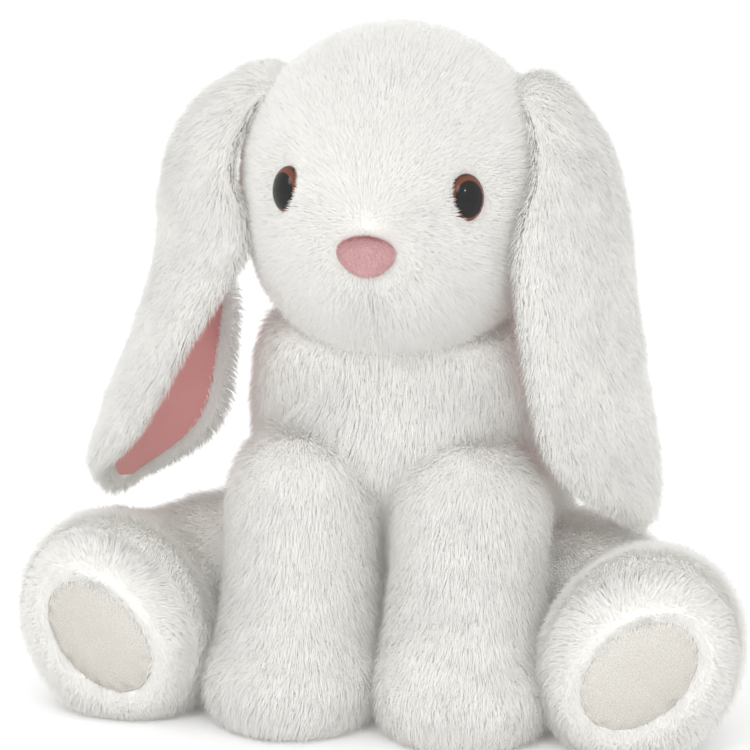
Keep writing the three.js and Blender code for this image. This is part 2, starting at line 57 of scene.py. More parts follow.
class Wire:
    """A socket of a node tree. Arithmetic on it adds the Math or Vector Math node that works it out."""

    def __init__(self, tree, socket):
        self.tree = tree
        self.socket = socket

    def is_vector(self):
        return self.socket.type in ("VECTOR", "RGBA", "ROTATION")

    def combine(self, operation, *operands):
        wires = [w for w in operands if isinstance(w, Wire)]
        vectors = [w for w in operands if isinstance(w, tuple) or (isinstance(w, Wire) and w.is_vector())]
        if vectors and operation == "MULTIPLY" and len(vectors) < 2:
            number = next(w for w in operands if w is not vectors[0])
            scaled = {0: vectors[0], "Scale": number}
            return wires[0].tree.add("ShaderNodeVectorMath", {"operation": "SCALE"}, scaled)
        kind = "ShaderNodeVectorMath" if vectors else "ShaderNodeMath"
        whole = [(w, w, w) if vectors and isinstance(w, (int, float)) else w for w in operands]
        return wires[0].tree.add(kind, {"operation": operation}, dict(enumerate(whole)))

    def __add__(self, other):
        return self.combine("ADD", self, other)

    def __radd__(self, other):
        return self.combine("ADD", other, self)

    def __sub__(self, other):
        return self.combine("SUBTRACT", self, other)

    def __rsub__(self, other):
        return self.combine("SUBTRACT", other, self)

    def __mul__(self, other):
        return self.combine("MULTIPLY", self, other)

    def __rmul__(self, other):
        return self.combine("MULTIPLY", other, self)

    def __truediv__(self, other):
        return self.combine("DIVIDE", self, other)

    def __pow__(self, other):
        return self.combine("POWER", self, other)

    def lowest(self, other):
        return self.combine("MINIMUM", self, other)

    def highest(self, other):
        return self.combine("MAXIMUM", self, other)

    def unit(self):
        return self.tree.add("ShaderNodeVectorMath", {"operation": "NORMALIZE"}, {0: self})

    def cross(self, other):
        return self.tree.add("ShaderNodeVectorMath", {"operation": "CROSS_PRODUCT"}, {0: self, 1: other})

    def ramp(self, low, high, out_low=0.0, out_high=1.0):
        """A smooth step from one number to another."""
        settings = {"interpolation_type": "SMOOTHSTEP"}
        sockets = {"Value": self, "From Min": low, "From Max": high, "To Min": out_low, "To Max": out_high}
        return self.tree.add("ShaderNodeMapRange", settings, sockets)


class Tree:
    """A node tree being wired up. add() makes a node, settles its settings and then fills its sockets."""

    def __init__(self, nodes, links):
        self.nodes = nodes
        self.links = links

    def add(self, kind, settings=None, sockets=None, out=0):
        node = self.nodes.new(kind)
        for name, value in (settings or {}).items():
            setattr(node, name, value)
        for key, value in (sockets or {}).items():
            socket = node.inputs[key]
            if isinstance(value, Wire):
                self.links.new(value.socket, socket)
            elif socket.type == "RGBA" and len(value) == 3:
                socket.default_value = (*value, 1.0)
            else:
                socket.default_value = value
        outputs = [o for o in node.outputs if o.enabled]
        if not outputs:
            return node
        chosen = node.outputs[out] if isinstance(out, str) else outputs[out]
        return Wire(self, chosen)


def material(name):
    """An empty material and its tree."""
    made = bpy.data.materials.new(name)
    made.use_nodes = True
    made.node_tree.nodes.clear()
    return made, Tree(made.node_tree.nodes, made.node_tree.links)


def finish_surface(tree, surface):
    tree.add("ShaderNodeOutputMaterial", {}, {"Surface": surface})


def noise(tree, where, size, detail=2.0, roughness=0.5):
    """Noise from 0 to 1 whose lumps are of that size in metres."""
    sockets = {"Vector": where, "Scale": 1 / size, "Detail": detail, "Roughness": roughness}
    return tree.add("ShaderNodeTexNoise", {}, sockets)


def mixed(tree, share, low, high):
    """The colour between two, by the share."""
    node = tree.nodes.new("ShaderNodeMix")
    node.data_type = "RGBA"
    for key, value in (("Factor_Float", share), ("A_Color", low), ("B_Color", high)):
        socket = next(s for s in node.inputs if s.identifier == key)
        if isinstance(value, Wire):
            tree.links.new(value.socket, socket)
        elif socket.type == "RGBA":
            socket.default_value = (*value, 1.0)
        else:
            socket.default_value = value
    return Wire(tree, next(s for s in node.outputs if s.identifier == "Result_Color"))


def mesh_object(name, points, faces, surface=None, smooth=True):
    """An object at the origin from points in millimetres."""
    mesh = bpy.data.meshes.new(name)
    mesh.from_pydata([tuple(p) for p in np.asarray(points) * MM], [], [tuple(f) for f in faces])
    mesh.polygons.foreach_set("use_smooth", [smooth] * len(mesh.polygons))
    mesh.update()
    made = bpy.data.objects.new(name, mesh)
    bpy.context.scene.collection.objects.link(made)
    if surface is not None:
        mesh.materials.append(surface)
    return made


TABLE_HALF = 9000

table_matt, tree = material("table_matt")
paper = noise(tree, tree.add("ShaderNodeTexCoord", out="Object"), 0.004)
shader = tree.add("ShaderNodeBsdfPrincipled", {}, {
    "Base Color": mixed(tree, paper, (0.93, 0.93, 0.93), (0.95, 0.95, 0.95)),
    "Roughness": 0.9,
    "Specular IOR Level": 0.1,
})
finish_surface(tree, shader)
corners = [(x * TABLE_HALF, y * TABLE_HALF, 0) for x, y in ((-1, -1), (1, -1), (1, 1), (-1, 1))]
table = mesh_object("table", corners, [(0, 1, 2, 3)], table_matt)

tent = bpy.data.worlds.new("tent")
tent.use_nodes = True
tent.node_tree.nodes["Background"].inputs["Color"].default_value = (1.0, 1.0, 1.0, 1.0)
tent.node_tree.nodes["Background"].inputs["Strength"].default_value = 1.14
bpy.context.scene.world = tent
bpy.context.scene.view_settings.view_transform = "Standard"


def soft_lamp(name, place, aim, size, power):
    lamp = bpy.data.lights.new(name, "AREA")
    lamp.shape = "DISK"
    lamp.size = size * MM
    lamp.energy = power
    made = bpy.data.objects.new(name, lamp)
    made.location = Vector(place) * MM
    made.rotation_euler = (Vector(aim) - Vector(place)).to_track_quat("-Z", "Y").to_euler()
    bpy.context.scene.collection.objects.link(made)


LAMP_AIM = (0, -20, 130)
soft_lamp("lamp_over_camera", (-500, -1500, 1300), LAMP_AIM, 900, 7.5)
soft_lamp("lamp_at_right", (900, -1300, 900), LAMP_AIM, 110, 2.6)

CAMERA_AZIMUTH = 12.2
CAMERA_RISE = 15.1
CAMERA_DISTANCE = 1400
LENS = 165.5
CAMERA_TARGET = Vector((0, -21, 135))
AIM_LEFT = 10.6
AIM_DOWN = 2.4

azimuth = math.radians(CAMERA_AZIMUTH)
rise = math.radians(CAMERA_RISE)
back = Vector((math.sin(azimuth) * math.cos(rise), -math.cos(azimuth) * math.cos(rise), math.sin(rise)))
right = Vector((math.cos(azimuth), math.sin(azimuth), 0))
upward = back.cross(right)
aim = CAMERA_TARGET - AIM_LEFT * right - AIM_DOWN * upward
camera = bpy.data.objects.new("camera", bpy.data.cameras.new("camera"))
camera.data.lens = LENS
camera.data.sensor_width = 36
camera.location = (aim + CAMERA_DISTANCE * back) * MM
camera.rotation_euler = (-back).to_track_quat("-Z", "Y").to_euler()
camera.data.clip_end = 60
bpy.context.scene.collection.objects.link(camera)
bpy.context.scene.camera = camera

# ---------------------------------------------------------------- body
# The trunk is a bag of white long-pile plush, sewn up the back, which narrows to the neck it is closed round.
# Its pile is brushed down, and it carries everything else.

BODY_WIDTH = 122
BODY_DEPTH = 106
BODY_HEIGHT = 168
NECK_RADIUS = 30
NECK_DEPTH = 10
BACK_LEAN = 41
UNDERCOAT = 2.0  # the dense foot of the pile, over the backing
BODY_PILE = 9.5
FLANK_SWELL = 10.5
BIB_SWELL = 10

HEAD_DEPTH = 104
neck_y = -BACK_LEAN / 2 - 2.5
seat_y = neck_y + BACK_LEAN
to_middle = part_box("head_skin")[1].y / MM - (neck_y + HEAD_DEPTH / 2)


def smooth_step(low, high, value):
    share = np.clip((np.asarray(value, float) - low) / (high - low), 0, 1)
    return share * share * (3 - 2 * share)


def lerp(low, high, share):
    return low + (high - low) * share


def unit(vectors):
    return vectors / np.maximum(np.linalg.norm(vectors, axis=-1, keepdims=True), 1e-9)


def level_row(x, y, z, half_width, half_depth=None):
    half_depth = half_width if half_depth is None else half_depth
    return [(x, y, z), (half_width, 0, 0), (0, half_depth, 0)]


def faired(rows, steps):
    """Rows drawn closer together on a smooth curve through the given ones, evenly along the surface."""
    rows = np.array(rows, float)
    middle, right, up = rows[:, 0], rows[:, 1], rows[:, 2]
    rings = np.stack([middle + right, middle - right, middle + up, middle - up], 1)
    gaps = np.linalg.norm(np.diff(rings, axis=0), axis=2).mean(1)
    at = np.concatenate([[0], np.cumsum(gaps)])
    flat = rows.reshape(len(rows), 9)
    slope = np.zeros_like(flat)
    slope[1:-1] = (flat[2:] - flat[:-2]) / (at[2:] - at[:-2])[:, None]
    slope[0] = (flat[1] - flat[0]) / (at[1] - at[0])
    slope[-1] = (flat[-1] - flat[-2]) / (at[-1] - at[-2])
    fine = np.linspace(0, at[-1], steps)
    step = np.clip(np.searchsorted(at, fine, side="right") - 1, 0, len(at) - 2)
    wide = (at[step + 1] - at[step])[:, None]
    t = ((fine - at[step]) / wide[:, 0])[:, None]
    a, b, ma, mb = flat[step], flat[step + 1], slope[step] * wide, slope[step + 1] * wide
    made = a * (2 * t**3 - 3 * t**2 + 1) + ma * (t**3 - 2 * t**2 + t) + b * (3 * t**2 - 2 * t**3) + mb * (t**3 - t**2)
    return made.reshape(steps, 3, 3)


def lofted(rows, around):
    """Points and faces of a closed form through rows whose first and last are poles."""
    angles = np.arange(around) * 2 * math.pi / around
    inner = rows[1:-1]
    rings = (inner[:, None, 0] + np.cos(angles)[None, :, None] * inner[:, None, 1]
             + np.sin(angles)[None, :, None] * inner[:, None, 2])
    points = np.concatenate([rows[:1, 0], rings.reshape(-1, 3), rows[-1:, 0]])
    faces = [(0, 1 + (i + 1) % around, 1 + i) for i in range(around)]
    for j in range(len(inner) - 1):
        low, high = 1 + j * around, 1 + (j + 1) * around
        faces += [(low + i, low + (i + 1) % around, high + (i + 1) % around, high + i) for i in range(around)]
    last, pole = 1 + (len(inner) - 1) * around, len(points) - 1
    faces += [(last + i, last + (i + 1) % around, pole) for i in range(around)]
    return points, outward_faces(points, faces)


def face_normals(points, faces):
    """The normal of each face, as long as twice its area."""
    made = np.zeros((len(faces), 3))
    for k, face in enumerate(faces):
        corner = points[list(face)]
        made[k] = np.cross(corner[2] - corner[0], corner[-1] - corner[1]) if len(face) == 4 else np.cross(
            corner[1] - corner[0], corner[2] - corner[0])
    return made


def outward_faces(points, faces):
    """The faces of a closed form, turned so that they look outwards."""
    normals = face_normals(points, faces)
    middles = np.array([points[list(f)].mean(0) for f in faces])
    volume = np.sum(middles * normals)
    return faces if volume > 0 else [tuple(reversed(f)) for f in faces]


def vertex_normals(points, faces):
    normals = face_normals(points, faces)
    made = np.zeros_like(points)
    for k in range(4):
        owned = [i for i, f in enumerate(faces) if len(f) > k]
        np.add.at(made, [faces[i][k] for i in owned], normals[owned])
    return unit(made)


def puffed(points, faces, distance):
    """The form swollen by a distance along its own normals, still standing on the table."""
    moved = points + vertex_normals(points, faces) * np.reshape(distance, (-1, 1))
    moved[:, 2] = np.maximum(moved[:, 2], 0.15)
    return moved


def laid(direction, normals):
    """A direction pressed flat on to a surface with these normals, and as long as one wherever it can be."""
    direction = np.broadcast_to(np.asarray(direction, float), normals.shape)
    flat = direction - normals * np.sum(direction * normals, axis=1, keepdims=True)
    return flat / np.maximum(np.linalg.norm(flat, axis=1, keepdims=True), 0.3)


# The warm, darker root colour is painted shade: it darkens the foot of each strand, where the pile shades itself.
PLUSH_ROOT_SHADE = (0.97, 0.945, 0.895)
PLUSH_TIP = (0.99, 0.99, 0.98)
PLUSH_DULL = (0.965, 0.965, 0.945)

plush_pile, tree = material("plush_pile")
strand = tree.add("ShaderNodeUVMap", {"uv_map": "OFBake"})
tint = tree.add("ShaderNodeSeparateXYZ", {}, {"Vector": strand}, out="X")
along = tree.add("ShaderNodeSeparateXYZ", {}, {"Vector": strand}, out="Y")
# Painted shade: each strand's colour runs from a darker, warmer foot to a white tip.
fibre_colour = mixed(tree, along.ramp(0.0, 0.75), PLUSH_ROOT_SHADE, PLUSH_TIP)
fibre_colour = mixed(tree, tint * 0.5, fibre_colour, PLUSH_DULL)
shader = tree.add("ShaderNodeBsdfPrincipled", {}, {
    "Base Color": fibre_colour,
    "Roughness": 0.7,
    "Specular IOR Level": 0.15,
    # Painted light: the strands glow faintly through this emission, though they are no lamp, which brightens the fur.
    "Emission Color": (1.0, 0.985, 0.95),
    "Emission Strength": 0.07,
})
through = tree.add("ShaderNodeBsdfTranslucent", {}, {"Color": (0.985, 0.98, 0.96)})
finish_surface(tree, tree.add("ShaderNodeMixShader", {}, {0: 0.5, 1: shader, 2: through}))

plush_backing, tree = material("plush_backing")
where = tree.add("ShaderNodeTexCoord", out="Object")
curl = noise(tree, where, 0.0016, 3)
drift = noise(tree, where, 0.02, 1)
shader = tree.add("ShaderNodeBsdfPrincipled", {}, {
    # Painted light: the backing glows faintly through this emission, though it is no lamp, so gaps in the pile stay
    # bright.
    "Emission Color": (1.0, 0.985, 0.95),
    "Emission Strength": 0.05,
    "Base Color": mixed(tree, curl * 0.6 + drift * 0.4, (0.965, 0.95, 0.915), (0.985, 0.98, 0.965)),
    "Roughness": 0.95,
    "Specular IOR Level": 0.1,
    "Normal": tree.add("ShaderNodeBump", {}, {"Strength": 0.6, "Distance": 0.0006, "Height": curl}),
})
finish_surface(tree, shader)


def geometry_tree(name, inputs):
    """A geometry tree with these named inputs, and the wires that they come in on."""
    group = bpy.data.node_groups.new(name, "GeometryNodeTree")
    group.interface.new_socket("Geometry", in_out="INPUT", socket_type="NodeSocketGeometry")
    group.interface.new_socket("Geometry", in_out="OUTPUT", socket_type="NodeSocketGeometry")
    for title, kind in inputs.items():
        group.interface.new_socket(title, in_out="INPUT", socket_type="NodeSocket" + kind)
    made = Tree(group.nodes, group.links)
    source = group.nodes.new("NodeGroupInput")
    wires = {title: Wire(made, source.outputs[title]) for title in ["Geometry", *inputs]}
    return group, made, wires


def grown(source, group, values, name):
    """What a geometry tree makes of an object, as a plain mesh object of its own."""
    modifier = source.modifiers.new("grown", "NODES")
    modifier.node_group = group
    for item in group.interface.items_tree:
        if item.in_out == "INPUT" and item.name in values:
            modifier[item.identifier] = values[item.name]
    bpy.context.view_layer.update()
    evaluated = source.evaluated_get(bpy.context.evaluated_depsgraph_get())
    mesh = bpy.data.meshes.new_from_object(evaluated)
    mesh.name = name
    source.modifiers.remove(modifier)
    made = bpy.data.objects.new(name, mesh)
    bpy.context.scene.collection.objects.link(made)
    return made


# Each strand is a slim kite of two faces, upright at its foot and folded over at the middle the way it is brushed.
pile_group, tree, given = geometry_tree("pile", {
    "Strands per square metre": "Float",
    "Strand width": "Float",
    "Scatter": "Float",
    "Tuft size": "Float",
    "Tuft pull": "Float",
    "Lean": "Float",
    "Seed": "Int",
    "Finish": "Material",
})


def named(kind, name):
    return tree.add("GeometryNodeInputNamedAttribute", {"data_type": kind}, {"Name": name})


def stored(geometry, kind, name, value, domain="POINT"):
    settings = {"data_type": kind, "domain": domain}
    return tree.add("GeometryNodeStoreNamedAttribute", settings, {"Geometry": geometry, "Name": name, "Value": value})


position = tree.add("GeometryNodeInputPosition")
feet = tree.add("GeometryNodeDistributePointsOnFaces", {"distribute_method": "RANDOM"}, {
    "Mesh": given["Geometry"],
    "Density": given["Strands per square metre"] * named("FLOAT", "pile_share"),
    "Seed": given["Seed"],
})
tuft = tree.add("ShaderNodeTexNoise", {}, {
    "Vector": position / given["Tuft size"], "Scale": 1.0, "Detail": 2.0,
}, out="Color")
swirl = tree.add("ShaderNodeTexNoise", {}, {
    "Vector": position / given["Tuft size"], "Scale": 0.22, "Detail": 1.0,
}, out="Color")
loose = tree.add("FunctionNodeRandomValue", {"data_type": "FLOAT_VECTOR"}, {
    "Min": (-1, -1, -1),
    "Max": (1, 1, 1),
    "Seed": 3,
})
stray = (tuft - (0.5, 0.5, 0.5)) * (given["Tuft pull"] * 2.6) + (swirl - (0.5, 0.5, 0.5)) * given["Tuft pull"] * 2.0
grown_long = tree.add("FunctionNodeRandomValue", {"data_type": "FLOAT"}, {2: 0.72, 3: 1.12, "Seed": 5})
shade = tree.add("FunctionNodeRandomValue", {"data_type": "FLOAT"}, {2: 0.0, 3: 1.0, "Seed": 8})
feet = stored(feet, "FLOAT_VECTOR", "strand_foot", position)
feet = stored(feet, "FLOAT_VECTOR", "strand_stray", stray + loose * given["Scatter"])
feet = stored(feet, "FLOAT_VECTOR", "strand_loose", loose)
feet = stored(feet, "FLOAT", "strand_long", grown_long * named("FLOAT", "pile_long"))
feet = stored(feet, "FLOAT", "strand_shade", shade)
kite = tree.add("GeometryNodeMeshGrid", {}, {"Size X": 1.0, "Size Y": 1.0, "Vertices X": 2, "Vertices Y": 2})
plan = tree.add("ShaderNodeSeparateXYZ", {}, {"Vector": position}, out="X")
plan_y = tree.add("ShaderNodeSeparateXYZ", {}, {"Vector": position}, out="Y")
kite = stored(kite, "FLOAT", "strand_up", (plan + plan_y + 1.0) * 0.5)
kite = stored(kite, "FLOAT", "strand_side", plan - plan_y)
slim = tree.add("ShaderNodeCombineXYZ", {}, {
    "X": named("FLOAT", "strand_side") * 0.1,
    "Y": named("FLOAT", "strand_up"),
})
kite = tree.add("GeometryNodeSetPosition", {}, {"Geometry": kite, "Position": slim})
kite = tree.add("GeometryNodeTriangulate", {"quad_method": "SHORTEST_DIAGONAL"}, {"Mesh": kite})
strands = tree.add("GeometryNodeInstanceOnPoints", {}, {"Points": feet, "Instance": kite})
strands = tree.add("GeometryNodeRealizeInstances", {}, {"Geometry": strands})
outwards = named("FLOAT_VECTOR", "pile_out").unit()
lay = named("FLOAT_VECTOR", "pile_lay")
stray = named("FLOAT_VECTOR", "strand_stray")
up = named("FLOAT", "strand_up")
rooted = (outwards + lay * (given["Lean"] * 0.45) + stray * 0.4).unit()
tip = (outwards * (1.0 - given["Lean"] * 0.75) + lay * given["Lean"] + stray).unit()
curve = rooted * up.lowest(0.5) + tip * (up - 0.5).highest(0.0)
sideways = (lay + stray * 0.6 + named("FLOAT_VECTOR", "strand_loose") * 0.5).cross(outwards).unit()
half_width = named("FLOAT", "strand_side") * given["Strand width"] * 0.5
reach = curve * named("FLOAT", "strand_long") + sideways * half_width
placed = named("FLOAT_VECTOR", "strand_foot") + reach
height = tree.add("ShaderNodeSeparateXYZ", {}, {"Vector": placed}, out="Z")
lift = tree.add("ShaderNodeCombineXYZ", {}, {"Z": height.highest(0.0004) - height})
strands = tree.add("GeometryNodeSetPosition", {}, {"Geometry": strands, "Position": placed + lift})
facing = (outwards + tip * 0.14 + named("FLOAT_VECTOR", "strand_loose") * 0.1).unit()
strands = stored(strands, "FLOAT_VECTOR", "strand_facing", facing)
chart = tree.add("ShaderNodeCombineXYZ", {}, {
    "X": named("FLOAT", "strand_shade") * 0.9 + 0.05,
    "Y": up * 0.9 + 0.05,
})
strands = stored(strands, "FLOAT2", "OFBake", chart, "CORNER")
strands = tree.add("GeometryNodeSetMaterial", {}, {"Geometry": strands, "Material": given["Finish"]})
tree.add("NodeGroupOutput", {}, {"Geometry": strands})


def combed(made, out, long, lay, share=None):
    """Tells a mesh what its pile needs to know: its length and lay at each point, and where it grows."""
    whole = np.ones(len(out)) if share is None else np.clip(share, 0, 1)
    for title, kind, key, values in (
        ("pile_out", "FLOAT_VECTOR", "vector", out),
        ("pile_lay", "FLOAT_VECTOR", "vector", laid(lay, out)),
        ("pile_long", "FLOAT", "value", np.broadcast_to(long, len(out)) * MM),
        ("pile_share", "FLOAT", "value", whole),
    ):
        made.data.attributes.new(title, kind, "POINT").data.foreach_set(key, np.ravel(values).astype(np.float32))


def cover(name, body, points, faces, node, long, lay, surface=plush_backing, share=None):
    """A skin's closed cover, combed for its pile."""
    made = mesh_object(name, points + np.array([0, to_middle, 0]), faces, surface)
    combed(made, vertex_normals(points, faces), long, lay, share)
    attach(made, body)
    if node:
        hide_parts(node)
    return made


STRAND_WIDTH = 0.31
STRAND_SEED = 11


def pile(name, body, skin, count, panel=None, width=STRAND_WIDTH, scatter=0.17, tuft=6.5, pull=0.24,
         lean=0.8, finish=plush_pile):
    """Grows that many strands on a cover, or on the panel of it whose share is not nothing."""
    bed = bpy.data.objects.new("bed", skin.data.copy())
    bpy.context.scene.collection.objects.link(bed)
    share = np.zeros(len(bed.data.vertices), np.float32)
    bed.data.attributes["pile_share"].data.foreach_get("value", share)
    if panel is not None:
        share = share * np.asarray(panel, np.float32)
        bed.data.attributes["pile_share"].data.foreach_set("value", share)
    area = sum(p.area * share[list(p.vertices)].mean() for p in bed.data.polygons)
    made = grown(bed, pile_group, {
        "Strands per square metre": count / area,
        "Strand width": width * MM,
        "Scatter": scatter,
        "Tuft size": tuft * MM,
        "Tuft pull": pull,
        "Lean": lean,
        "Seed": STRAND_SEED,
        "Finish": finish,
    }, name)
    old = bed.data
    bpy.data.objects.remove(bed)
    bpy.data.meshes.remove(old)
    facing = np.zeros(len(made.data.vertices) * 3, np.float32)
    made.data.attributes["strand_facing"].data.foreach_get("vector", facing)
    for attribute in [a.name for a in made.data.attributes if a.name.startswith(("pile_", "strand_"))]:
        made.data.attributes.remove(made.data.attributes[attribute])
    made.data.polygons.foreach_set("use_smooth", [True] * len(made.data.polygons))
    made.data.normals_split_custom_set_from_vertices(facing.reshape(-1, 3))
    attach(made, body)
    return made


def body_form():
    half_width = BODY_WIDTH / 2
    half_depth = BODY_DEPTH / 2
    top = BODY_HEIGHT - NECK_DEPTH
    shape = [
        (0.03, 0, 0.9, 0.88), (0.12, 0, 0.99, 0.98), (0.27, 0, 1, 1), (0.44, 0.14, 0.93, 0.9),
        (0.62, 0.38, 0.83, 0.77), (0.79, 0.66, 0.75, 0.67), (0.91, 0.88, 0.67, 0.61), (0.97, 0.98, 0.57, 0.58),
    ]
    rows = [level_row(0, seat_y, 0, 0), level_row(0, seat_y, 0, 0.72 * half_width, 0.7 * half_depth)]
    for rise_share, lean_share, wide, deep in shape:
        y = lerp(seat_y, neck_y, lean_share)
        rows.append(level_row(0, y, rise_share * top, wide * half_width, deep * half_depth))
    rows += [level_row(0, neck_y, top, NECK_RADIUS), level_row(0, neck_y, BODY_HEIGHT, NECK_RADIUS * 0.9)]
    rows.append(level_row(0, neck_y, BODY_HEIGHT, 0))
    return lofted(faired(rows, 96), 110)


body_points, body_faces = body_form()
body_rise = smooth_step(0.5, 8, body_points[:, 2]) * smooth_step(158, 150, body_points[:, 2])
body_out = vertex_normals(body_points, body_faces)
flank = smooth_step(0.35, 0.9, np.abs(body_out[:, 0])) * smooth_step(157, 148, body_points[:, 2])
swell = FLANK_SWELL * flank * smooth_step(40, 120, body_points[:, 2])
bib = smooth_step(-0.3, -0.8, body_out[:, 1]) * smooth_step(56, 40, np.abs(body_points[:, 0]))
swell = np.maximum(swell, BIB_SWELL * bib * np.exp(-((body_points[:, 2] - 108) / 21) ** 2))
body_points = puffed(body_points, body_faces, UNDERCOAT * body_rise + swell)
on_seat = smooth_step(0.2, 3, body_points[:, 2])
under_head = smooth_step(166, 156, body_points[:, 2])
breast = smooth_step(neck_y - 5, neck_y - 25, body_points[:, 1]) * smooth_step(70, 105, body_points[:, 2])
body_long = BODY_PILE + 2.5 * breast * smooth_step(150, 125, body_points[:, 2])
body_lay = np.array([0, -0.12, -1.0])
body_cover = cover("body_cover", "body", body_points, body_faces, "body_skin", body_long, body_lay,
                   share=on_seat * under_head)
facing_front = (body_points[:, 1] < lerp(seat_y, neck_y, 0.4)).astype(float)
pile("chest_pile", "body", body_cover, 84000, facing_front)
pile("back_pile", "body", body_cover, 72000, 1 - facing_front)


# ---------------------------------------------------------------- stuffing and pellet pouch
# Loose polyester fibre fills every skin, and a small sewn bag of plastic pellets lies on the seat to hold it down.
# None of it shows, so the solids of the frame stay and take a finish.

fibre_fill, tree = material("fibre_fill")
where = tree.add("ShaderNodeTexCoord", out="Object")
wisps = noise(tree, where, 0.003, 5, 0.7)
shader = tree.add("ShaderNodeBsdfPrincipled", {}, {
    "Base Color": mixed(tree, wisps, (0.84, 0.84, 0.83), (0.96, 0.96, 0.95)),
    "Roughness": 1.0,
    "Normal": tree.add("ShaderNodeBump", {}, {"Strength": 0.8, "Distance": 0.001, "Height": wisps}),
})
finish_surface(tree, shader)

pouch_cloth, tree = material("pouch_cloth")
where = tree.add("ShaderNodeTexCoord", out="Object")
threads = tree.add("ShaderNodeTexWave", {"bands_direction": "X"}, {"Vector": where, "Scale": 900.0}, out="Fac")
picks = tree.add("ShaderNodeTexWave", {"bands_direction": "Y"}, {"Vector": where, "Scale": 900.0}, out="Fac")
weave = threads * 0.5 + picks * 0.5
shader = tree.add("ShaderNodeBsdfPrincipled", {}, {
    "Base Color": mixed(tree, weave, (0.55, 0.52, 0.44), (0.72, 0.69, 0.6)),
    "Roughness": 0.9,
    "Normal": tree.add("ShaderNodeBump", {}, {"Strength": 0.5, "Distance": 0.0004, "Height": weave}),
})
finish_surface(tree, shader)


def refinish(node, surface):
    """Gives a carried-over solid of the frame another finish."""
    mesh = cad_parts[node].data
    mesh.materials.clear()
    mesh.materials.append(surface)


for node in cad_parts:
    if node.endswith("_stuffing"):
        refinish(node, fibre_fill)
refinish("bean_pouch", pouch_cloth)

# ---------------------------------------------------------------- tail
# A round puff of the same plush, drawn up round its fibre on a gathering thread and sewn flat to the back seam.

TAIL_RADIUS = 20
TAIL_HEIGHT = 36
TAIL_PILE = 12

tail_y = seat_y + BODY_DEPTH / 2 + 0.25 * TAIL_RADIUS


def globe(radii, middle, around, rows):
    """Points and faces of a ball or an egg whose poles are above and below."""
    angles = np.linspace(0, math.pi, rows)
    x, y, z = middle
    made = [level_row(x, y, z - radii[2] * math.cos(a), radii[0] * math.sin(a), radii[1] * math.sin(a))
            for a in angles]
    return lofted(np.array(made, float), around)


tail_points, tail_faces = globe((TAIL_RADIUS,) * 3, (0, tail_y, TAIL_HEIGHT), 48, 30)
tail_points = puffed(tail_points, tail_faces, -1.0)
tail_clear = smooth_step(seat_y + BODY_DEPTH / 2 - 8, seat_y + BODY_DEPTH / 2 + 1, tail_points[:, 1])
tail_lay = unit(tail_points - (0, tail_y, TAIL_HEIGHT)) * 0.2 + (0, 0.5, -0.45)
tail_cover = cover("tail_cover", "body", tail_points, tail_faces, "tail_skin", TAIL_PILE, tail_lay, share=tail_clear)
pile("tail_pile", "body", tail_cover, 30000, scatter=0.26, tuft=5, pull=0.4, lean=0.66)

# ---------------------------------------------------------------- care label
# A blank white satin ribbon, folded double and caught in the back seam beside the tail.

LABEL_THICK = 0.35

satin_ribbon, tree = material("satin_ribbon")
where = tree.add("ShaderNodeTexCoord", out="Object")
floats = tree.add("ShaderNodeTexWave", {"bands_direction": "Z"}, {
    "Vector": where,
    "Scale": 1100.0,
    "Distortion": 1.0,
}, out="Fac")
shader = tree.add("ShaderNodeBsdfPrincipled", {}, {
    "Base Color": mixed(tree, floats, (0.82, 0.82, 0.8), (0.92, 0.92, 0.9)),
    "Roughness": 0.38,
    "Normal": tree.add("ShaderNodeBump", {}, {"Strength": 0.25, "Distance": 0.0002, "Height": floats}),
})
finish_surface(tree, shader)

label_low, label_high = (np.array(corner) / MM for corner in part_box("care_label"))


def folded_ribbon():
    """A strip that goes out, turns round its end and comes back, as a closed band of that thickness."""
    middle_x = (label_low[0] + label_high[0]) / 2
    out_to = label_high[1] - 0.8
    leaf = 0.55
    line = [(middle_x - leaf, label_low[1] + 1), (middle_x - leaf * 1.6, lerp(label_low[1], out_to, 0.5))]
    line += [(middle_x + leaf * 1.5 * math.sin(a), out_to - 0.7 + 0.8 * math.cos(a))
             for a in np.linspace(-1.5, 1.5, 9)]
    line += [(middle_x + leaf * 1.3, lerp(label_low[1], out_to, 0.45)), (middle_x + leaf, label_low[1] + 1)]
    line = np.array(line)
    along_line = np.gradient(line, axis=0)
    side = unit(np.stack([along_line[:, 1], -along_line[:, 0]], 1)) * LABEL_THICK / 2
    points, faces = [], []
    for z in (label_low[2], label_high[2]):
        for edge in (line + side, line - side):
            points += [(x, y, z) for x, y in edge]
    n = len(line)
    for k in range(n - 1):
        faces += [(k, k + 1, 2 * n + k + 1, 2 * n + k), (n + k, 3 * n + k, 3 * n + k + 1, n + k + 1)]
        faces += [(k, n + k, n + k + 1, k + 1), (2 * n + k, 2 * n + k + 1, 3 * n + k + 1, 3 * n + k)]
    for k in (0, n - 1):
        faces.append((k, n + k, 3 * n + k, 2 * n + k) if k else (k, 2 * n + k, 3 * n + k, n + k))
    points = np.array(points)
    return points, outward_faces(points, faces)


label_points, label_faces = folded_ribbon()
label = mesh_object("label_ribbon", label_points, label_faces, satin_ribbon, smooth=False)
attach(label, "body")
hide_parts("care_label")

# ---------------------------------------------------------------- hind legs
# Each is a curved bag of plush from its hip seam to a big round foot, which leans outwards and is pressed flat
# where it stands. The pile is brushed towards the sole and stands up round its rim.

FOOT_LENGTH = 78
FOOT_WIDTH = 64
FOOT_TILT = 30
FOOT_FLAT = 1.5
FOOT_SPACING = 208
FOOT_FORWARD = 56
HIP_RADIUS = 29.5
HIP_SPACING = 112
HIP_BACK = 8
SOLE_REACH = 32
PAD_LENGTH = 54
PAD_WIDTH = 37
PAD_TILT = 46
LEG_PILE = 9.5

foot_tilt = math.radians(FOOT_TILT)
foot_half_height = math.hypot(FOOT_LENGTH * math.cos(foot_tilt), FOOT_WIDTH * math.sin(foot_tilt)) / 2
foot_rise = foot_half_height - FOOT_FLAT


